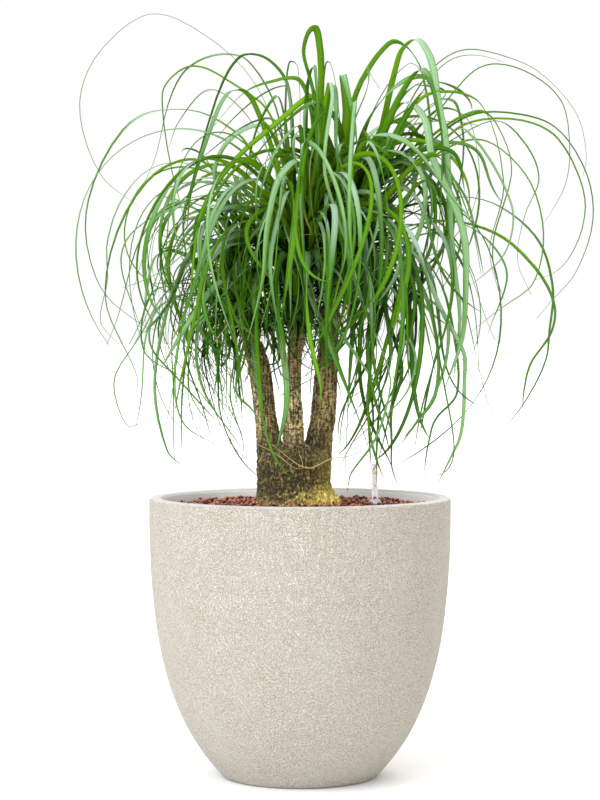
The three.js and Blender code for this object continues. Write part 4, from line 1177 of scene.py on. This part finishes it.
# %% [markdown]
# ## From a line to a leaf
# A strap leaf is folded along its middle into a shallow channel, which is what keeps it up. Its
# upper face is a cool green with a painted sheen where it faces the lamp, and its lower face is a
# warmer green, painted brighter on some young leaves as if sunlit from behind. Each leaf here
# is a closed strip six points round: three on the upper face and three below. It turns slowly about
# its own line, as leaves do when they hang. Three vectors are kept on its points: `blade` has the
# place across and along it and a number of its own, `leaf` has its face, age and share of length,
# and `light` has its painted shade, its painted sheen and its share of darker green, which is
# painted shade low in the canopy and on the left.

# %% Follow a leaf's line
STATIONS = 34
SUNNY_SIDE = np.array([-0.35, -0.6, 0.72])


def stations_on(line, count):
    """Points of a line, closer together where it bends, and their share of its length."""
    fine = smooth_line(line, 112)
    steps = np.diff(fine, axis=0)
    unit = steps / np.linalg.norm(steps, axis=1, keepdims=True)
    bend = np.arccos(np.clip((unit[1:] * unit[:-1]).sum(1), -1, 1))
    weights = np.concatenate(([0], np.cumsum(0.5 / len(fine) + np.append(bend, 0) / math.pi)))
    wanted = weights[-1] * np.arange(count + 1) / count
    along = np.interp(wanted, weights, np.arange(len(fine)))
    points = np.stack([np.interp(along, np.arange(len(fine)), fine[:, c]) for c in range(3)], -1)
    return points, along / (len(fine) - 1)


def first_side_of(points):
    """The level direction across a leaf where it starts."""
    step = points[1] - points[0]
    side = np.array([-step[1], step[0], 0])
    return side / np.linalg.norm(side) if np.linalg.norm(side) > 1 else np.array([1.0, 0, 0])


def carried_sides(points, wanted, pull):
    """A leaf's forward and sideways directions. The sides are pulled to a wanted direction."""
    ahead = np.vstack([points[1:], points[-1:]])
    behind = np.vstack([points[:1], points[:-1]])
    forward = (ahead - behind) / np.linalg.norm(ahead - behind, axis=1, keepdims=True)
    sides, side = [], first_side_of(points)
    for direction in forward:
        level = wanted - direction * wanted.dot(direction)
        side = side - direction * side.dot(direction)
        side = side * (1 - pull) + level * math.copysign(pull, level.dot(side))
        side = side / np.linalg.norm(side)
        sides.append(side)
    return forward, np.array(sides)


print("the trial leaf starts towards", carried_sides(trial, first_side_of(trial), 0)[0][0].round(2))

# %% Turn and taper a leaf
def turned_sides(leaf, points, along, draw):
    """The sideways and upward directions of a leaf, which is listed or grown, with its twist."""
    first = first_side_of(points)
    if "near" in leaf:
        turn = math.radians(35 + 40 * next(draw))
        wanted = first * math.cos(turn) + np.array([math.sin(turn), 0, 0])
    else:
        turn = math.radians(150 * (next(draw) - 0.5))
        wanted = first * math.cos(turn) + np.cross((0, 0, 1.0), first) * math.sin(turn)
    forward, side = carried_sides(points, wanted / np.linalg.norm(wanted), 0.3)
    face = np.cross(forward, side)
    most, least = (65, 10) if leaf.get("near") else (100, 35)
    chance = 2 * next(draw) - 1
    twist = math.radians(most * chance + math.copysign(least, chance))
    twist = twist * smooth_step(0.1, 0.9, along)
    twist = (twist + 0.25 * np.sin(along * 11 + 6 * next(draw)))[:, None]
    return (side * np.cos(twist) + face * np.sin(twist),
            face * np.cos(twist) - side * np.sin(twist))


def half_widths(leaf, tip_height, along):
    """Half a leaf's width along it. Some of it is held to the tip, which then narrows fast."""
    held = min(max((leaf["width"] - 3) / 14, 0.2), 0.5)
    if "near" in leaf:
        held = 0.6 if tip_height < 560 else 0.4 if leaf["near"] else 0.25
    fall = 1.6 if leaf.get("near") else 1.0
    taper = np.minimum(0.5 + 5 * along, 1) * (held + (1 - held) * (1 - along ** fall))
    return leaf["width"] * (taper * (1 - along ** 12) + 0.03) / 2


def light_on(leaf, points, along, face):
    """The painted shade, the painted sheen and the share of painted darker green along a leaf."""
    shade = np.interp(along, np.linspace(0, 1, LINE_STEPS + 1), leaf["shade"])
    shade = shade * (1 - 0.8 * smooth_step(0.4, 0.9, along))
    # Painted sheen: upper faces that face the lamp, out of the shade and high in the canopy, are
    # mixed towards a pale bluish green.
    painted_sheen = smooth_step(0.48, 0.97, face @ SUNNY_SIDE) * (1 - shade)
    painted_sheen = painted_sheen * (0.35 + 0.65 * smooth_step(540, 760, points[:, 2]))
    # Painted shade: parts low in the canopy and on the left side are mixed towards a darker green.
    low = smooth_step(640, 500, points[:, 2])
    darker_green_share = np.maximum(low, 0.65 * smooth_step(-80, -180, points[:, 0]))
    return np.stack([shade * (0.55 if leaf.get("near") else 1), painted_sheen, darker_green_share], axis=-1)


# %% Build one strip
def strip(leaf, draw):
    """Points of one leaf in millimetres, and the three vectors kept on them."""
    points, along = stations_on(leaf["line"], STATIONS)
    side, face = turned_sides(leaf, points, along, draw)
    half = half_widths(leaf, points[-1, 2], along)[:, None]
    fold = np.radians(10 * (1 - along) ** 1.5 + 4)[:, None]
    thick = 0.32 + 0.25 * (1 - along[:, None]) * np.minimum(half / 3, 1)
    edge = half * np.cos(fold)
    lift = half * np.sin(fold)
    upper = [points + side * edge + face * lift, points, points - side * edge + face * lift]
    lower = [upper[2] - face * thick * 0.8, upper[1] - face * thick * 1.8,
             upper[0] - face * thick * 0.8]
    ring = np.stack(upper + lower, axis=1)
    own = next(draw)
    reach = along * np.linalg.norm(np.diff(points, axis=0), axis=1).sum() * MM
    across = np.array([1, 0, -1, -1, 0, 1.0])
    top = np.array([1, 1, 1, 0, 0, 0.0])
    ones = np.ones((len(points), 6))
    blade = np.stack([across * ones, reach[:, None] * ones, own * ones], axis=-1)
    state = np.stack([top * ones, leaf["age"] * ones, along[:, None] * ones], axis=-1)
    light = np.repeat(light_on(leaf, points, along, face), 6, 0)
    return ring.reshape(-1, 3), blade.reshape(-1, 3), state.reshape(-1, 3), light


# %% Join the strips of a crown
def flat_layout(quads, count):
    """The layout of a crown's faces: a column for each strip, with its end caps at the foot."""
    edges = np.array([0, 0.23, 0.46, 0.5, 0.73, 0.96, 1])
    station, place = np.divmod(np.arange(quads), 6)
    u = edges[np.stack([place, place + 1, place + 1, place], axis=-1)]
    v = np.stack([station, station, station + 1, station + 1], axis=-1) / STATIONS
    caps = np.array([[(0.46, 0), (0.3, 0), (0.2, 0), (0, 0)]] * 4)
    layout = np.vstack([np.stack([u, v], axis=-1), caps])
    layout = np.repeat(layout[None] * (0.86 / count, 0.99) + 0.005, count, axis=0)
    layout[..., 0] += np.arange(count)[:, None, None] * 0.99 / count
    return layout


def build_crown(name, leaves, finish, seed):
    """All the leaves of one crown as a mesh, with a flat layout of its strips side by side."""
    draw = draws(seed)
    rings, blades, states, lights = zip(*(strip(leaf, draw) for leaf in leaves))
    rows = STATIONS + 1
    one = skin(rows, 6)
    caps = np.array([[3, 2, 1, 0], [5, 4, 3, 0], [0, 1, 2, 3], [0, 3, 4, 5]])
    caps[2:] += STATIONS * 6
    faces = np.vstack([np.vstack([one, caps]) + k * rows * 6 for k in range(len(leaves))])
    piece = new_piece(name, np.vstack(rings) * MM, faces, finish)
    keep_on_points(piece, "blade", np.vstack(blades))
    keep_on_points(piece, "leaf", np.vstack(states))
    keep_on_points(piece, "light", np.vstack(lights))
    thin = np.tile(np.concatenate([np.isin(np.arange(len(one)) % 6, (2, 5)), [True] * 4]),
                   len(leaves))
    piece.data.polygons.foreach_set("use_smooth", ~thin)
    keep_layout(piece, flat_layout(len(one), len(leaves)))
    return piece


# %% Mix the leaves' finish
# The upper greens run from pale to dark by each leaf's tone; the palest end also stands in for a
# painted sheen.
UPPER_GREENS = [(0.0, (0.47, 0.76, 0.38)), (0.22, (0.20, 0.46, 0.09)), (0.6, (0.095, 0.28, 0.020)),
                (1.0, (0.028, 0.105, 0.002))]
LOWER_GREENS = [(0.0, (0.20, 0.43, 0.004)), (0.45, (0.115, 0.305, 0.004)),
                (1.0, (0.024, 0.10, 0.0006))]


def leaf_finish():
    finish = Finish("strap_leaf")
    across, reach, own = finish.parts(finish.kept("blade", "Vector"))
    upper, age, along = finish.parts(finish.kept("leaf", "Vector"))

    def grain_of(width, length, seed, detail):
        place = finish.node("ShaderNodeCombineXYZ", (),
                            {0: across * width, 1: reach * length, 2: own * seed})
        return finish.speckle(1, detail, 0.6, place)

    veins = (across * 9).math("SINE", across * 9 + own * 6)
    grain = grain_of(3.2, 14, 90, 3)
    shade, painted_sheen, darker_green_share = finish.parts(finish.kept("light", "Vector"))
    tone = age * 0.6 + own * 0.75 + along * 0.3 - 0.26
    tone = (tone + (grain_of(0.5, 8, 50, 2) - 0.5) * 0.9).step(0, 1)
    over, under = (finish.node("ShaderNodeValToRGB", {"stops": stops}, {"Fac": tone})
                   for stops in (UPPER_GREENS, LOWER_GREENS))
    outer = along.step(0.3, 0.65)
    # Painted sheen on upper faces that face the lamp: a pale bluish green.
    upper_with_sheen = finish.mix(painted_sheen * 0.85 * (1 - outer * 0.5), over, (0.64, 0.83, 0.68))
    # Painted light: the lower faces of some young leaves are mixed towards a bright yellow-green,
    # as if sunlit from behind.
    sunlit_share = (own * 7).math("FRACT", own * 7).step(0.4, 0.55) * (1 - age).step(0.3, 0.7)
    sunlit = finish.mix(sunlit_share * (1 - outer) * 0.85, under, (0.26, 0.51, 0.003))
    facing = finish.mix(upper, sunlit, upper_with_sheen)
    # The darker green is painted shade low in the canopy and on the left, and also darkens the
    # outer half of every leaf.
    darker_green_share = darker_green_share.math("MAXIMUM", outer * 0.45, darker_green_share * 0.6)
    green = finish.mix(darker_green_share, facing, (0.068, 0.205, 0.011))
    veined = finish.mix((veins * 0.5 + 0.5) * grain * 0.28, green, (0.02, 0.085, 0.006))
    midrib = 1 - across.size().step(0.04, 0.16)
    ribbed = finish.mix(midrib * 0.22, veined, (0.30, 0.50, 0.12))
    pale_base = 1 - along.step(0.015, 0.07)
    based = finish.mix(pale_base * 0.75, ribbed, (0.52, 0.55, 0.20))
    dying = along.step(0.9, 1.0) * own.step(0.65, 0.85)
    fading = finish.mix(dying * 0.8, based, (0.42, 0.30, 0.07))
    flecks = grain_of(2, 60, 400, 1).step(0.74, 0.80)
    flecked = finish.mix(flecks * 0.6, fading, (0.50, 0.38, 0.12))
    edged = finish.mix(across.size().step(0.6, 1.0) * 0.25, flecked, (0.014, 0.07, 0.005))
    colour = finish.mix(shade * 0.96, edged, (0.004, 0.018, 0.0006))
    front = finish.surface(
        Base_Color=colour,
        Roughness=0.42 + tone * 0.12 + grain * 0.10,
        Specular_IOR_Level=0.05,
        Normal=finish.relief(veins * 0.5 + grain, 0.0002),
    )
    glow = finish.node("ShaderNodeBsdfTranslucent", (), {"Color": (0.20, 0.46, 0.004)})
    thin = (0.30 - tone * 0.14 - shade * 0.12) * (1 - outer * 0.5)
    return finish.done(finish.node("ShaderNodeMixShader", (), {0: thin, 1: front, 2: glow}))


leaf_green = leaf_finish()
print("finish:", leaf_green.name, "with", len(leaf_green.node_tree.nodes), "nodes")

# %% Build the crowns
for number, name in enumerate(CROWNS):
    mine = [leaf for leaf in leaves if leaf["crown"] == name]
    crown_piece = build_crown(f"leaves_{name}", mine, leaf_green, 100 + number)
    put(crown_piece, "leaf", f"crown_{name}")

# %% [markdown]
# ## The crowns' hearts
# Under the leaves their bases are packed into a tight, ribbed bud. It hides in the tuft, yet
# without it the sky would show between the leaves. It follows the solid heart of each crown, with
# a rib for each leaf base.

# %% Model the hearts
def heart_finish():
    finish = Finish("packed_leaf_bases")
    rise = finish.kept("rise")
    ribs = finish.speckle(1, 3, 0.6, finish.stretched(240, 30))
    green = finish.mix(ribs, (0.018, 0.06, 0.008), (0.07, 0.17, 0.02))
    colour = finish.mix(rise.step(0.0, 0.22), (0.36, 0.30, 0.10), green)
    return finish.made(Base_Color=colour, Roughness=0.7, Normal=finish.relief(ribs, 0.0015))


HEART_LEVELS = [(0, 10.5), (12, 14), (34, 20), (58, 21), (80, 15), (96, 5)]
HEART_SIDES, HEART_RIBS = 64, 8
heart_green = heart_finish()
levels = smooth_line(HEART_LEVELS, 30)
angle = np.arange(HEART_SIDES) * 2 * math.pi / HEART_SIDES
for name, crown in CROWNS.items():
    points = []
    for rise, radius in levels:
        centre = leaf_root(crown, rise)
        wave = np.abs(np.sin(HEART_RIBS * angle + rise * 0.05))
        ribs = radius * (1 + 0.09 * wave - 0.06)
        points.append(np.stack([centre[0] + ribs * np.cos(angle), centre[1] + ribs * np.sin(angle),
                                np.full(HEART_SIDES, centre[2])], axis=-1))
    heart = new_piece(f"heart_{name}", np.vstack(points) * MM,
                      closed_skin(len(points), HEART_SIDES), heart_green)
    keep_on_points(heart, "rise", np.repeat(levels[:, 0] / 96, HEART_SIDES))
    put(heart, "leaf", f"crown_{name}")

# %% [markdown]
# ## Dry strands
# A few leaves have withered to tan threads that lie across the crown and the trunk. They are the
# same strips, a millimetre or two wide, with a straw finish.

# %% Add the dry strands
STRANDS = [
    # width, then [x, y, z] points
    (2.4, (95, -70, 474), (70, -68, 462), (45, -66, 458), (9, -68, 445), (-36, -66, 475),
     (-60, -62, 492)),
    (1.8, (-60, -60, 478), (-36, -64, 466), (-6, -68, 444), (4, -66, 446), (-2, -62, 470)),
    (2.0, (-21, -60, 767), (13, -80, 772), (58, -84, 771)),
    (2.0, (25, -60, 832), (60, -80, 850), (95, -70, 872)),
    (1.8, (70, -90, 690), (105, -100, 722), (128, -90, 742)),
    (1.6, (-98, -80, 596), (-80, -90, 600), (-62, -84, 594), (-50, -70, 575)),
    (1.8, (-170, -60, 690), (-140, -90, 712), (-112, -90, 724)),
    (1.6, (-120, -90, 620), (-96, -100, 650), (-70, -96, 668)),
    (1.6, (-132, 20, 820), (-95, -20, 812), (-60, -20, 808)),
    (1.5, (120, 90, 640), (60, 120, 690), (0, 118, 700)),
    (1.5, (-120, 90, 600), (-80, 120, 640), (-20, 116, 652)),
    (1.5, (140, -20, 580), (170, -30, 540), (182, -36, 500)),
]
straw = Finish("withered_leaf")
straw_grain = straw.speckle(300, 3)
straw_colour = straw.mix(straw_grain, (0.34, 0.22, 0.07), (0.62, 0.46, 0.20))
straw.made(Base_Color=straw_colour, Roughness=0.7, Normal=straw.relief(straw_grain, 0.0004))
strand_leaves = [{"line": smooth_line(way, LINE_STEPS), "width": width, "age": 1.0,
                  "shade": np.zeros(LINE_STEPS + 1)} for width, *way in STRANDS]
strands = build_crown("dry_strands", strand_leaves, straw.material, 7)
put(strands, "leaf")

# %% [markdown]
# ## Water gauge
# A white collar sits in the dressing and carries a clear tube with two yellow marks, the lowest and
# the highest level. Inside, a float on the water pushes a red tip up into the tube. The collar,
# tube and float are turned on the same axis as the solids, with more sides and rounded edges.

# %% Mix the gauge's finishes
def plastic(name, colour, roughness):
    finish = Finish(name)
    dust = finish.speckle(150, 4)
    dirty = tuple(c * 0.78 for c in colour)
    worn = finish.mix(dust.step(0.4, 0.8) * 0.6, colour, dirty)
    return finish.made(Base_Color=worn, Roughness=roughness + dust * 0.15,
                       Normal=finish.relief(dust, 0.0001))


def clear_plastic():
    finish = Finish("clear_tube")
    haze = finish.speckle(120, 3)
    colour = finish.mix(haze, (0.84, 0.84, 0.87), (0.93, 0.93, 0.95))
    return finish.made(Base_Color=colour, Roughness=0.06 + haze * 0.06,
                       Transmission_Weight=0.92, IOR=1.2)


white_plastic = plastic("white_plastic", (0.52, 0.53, 0.56), 0.35)
red_plastic = plastic("red_plastic", (0.75, 0.02, 0.01), 0.5)
yellow_paint = plastic("yellow_paint", (0.70, 0.55, 0.14), 0.4)
print("finishes:", white_plastic.name, red_plastic.name, yellow_paint.name)

# %% Turn the gauge
shaft = turned("gauge_collar", [
    (2.7, 50.4), (9, 50.4), (9, 386), (9.4, 386.4), (10.7, 386.4), (11, 386.8), (11, 388.4),
    (10.8, 388.8), (7.4, 394.2), (6.9, 394.9), (6.6, 395), (5.2, 395), (5, 394.8), (5, 391),
    (2.7, 391), (2.7, 386), (7.6, 382.8), (7.6, 52), (2.7, 52), (2.7, 50.4),
], 48, white_plastic, GAUGE)
tube = turned("gauge_tube_clear", [
    (3.3, 391.3), (4.5, 391.3), (4.6, 391.5), (4.6, 445.2), (4.4, 445.9), (3.9, 446.3),
    (3.2, GAUGE_TOP), (0.01, GAUGE_TOP), (0.01, 445.2), (3.1, 445.2), (3.3, 445), (3.3, 391.3),
], 48, clear_plastic(), GAUGE)
floater = turned("gauge_float_rod", [
    (0.01, 52.3), (4.6, 52.3), (6.2, 52.9), (6.8, 54.5), (6.8, 110.1), (6.2, 111.7), (1, 112.3),
    (1, 393), (1.6, 393.6), (2.7, 394), (2.7, 398), (2.3, 398.7), (1.4, 399), (0.01, 399),
], 32, red_plastic, GAUGE)
put(shaft, "gauge_white", "gauge_shaft")
put(tube, "gauge_clear", "gauge_tube")
put(floater, "gauge_red", "gauge_float", body="float")

# %% Paint the two marks
TUBE_RADIUS, MARK_HALF_WIDTH = 4.6, 1.9


def mark(name, low, high):
    """A thin curved plate on the front of the tube, between two heights."""
    angle = np.radians(-90) + np.linspace(-MARK_HALF_WIDTH, MARK_HALF_WIDTH, 9) / TUBE_RADIUS
    rings = [(4.62, low), (4.72, low), (4.72, high), (4.62, high)]
    points = np.array([[(GAUGE[0] + r * math.cos(a), GAUGE[1] + r * math.sin(a), z)
                        for r, z in rings] for a in angle])
    faces = closed_skin(len(points), len(rings))
    return new_piece(name, points.reshape(-1, 3) * MM, faces, yellow_paint, smooth=False)


for number, (low, high) in enumerate(((413.2, 417.0), (431.5, 435.3))):
    put(mark(f"gauge_mark_{number + 1}", low, high), "gauge_white")
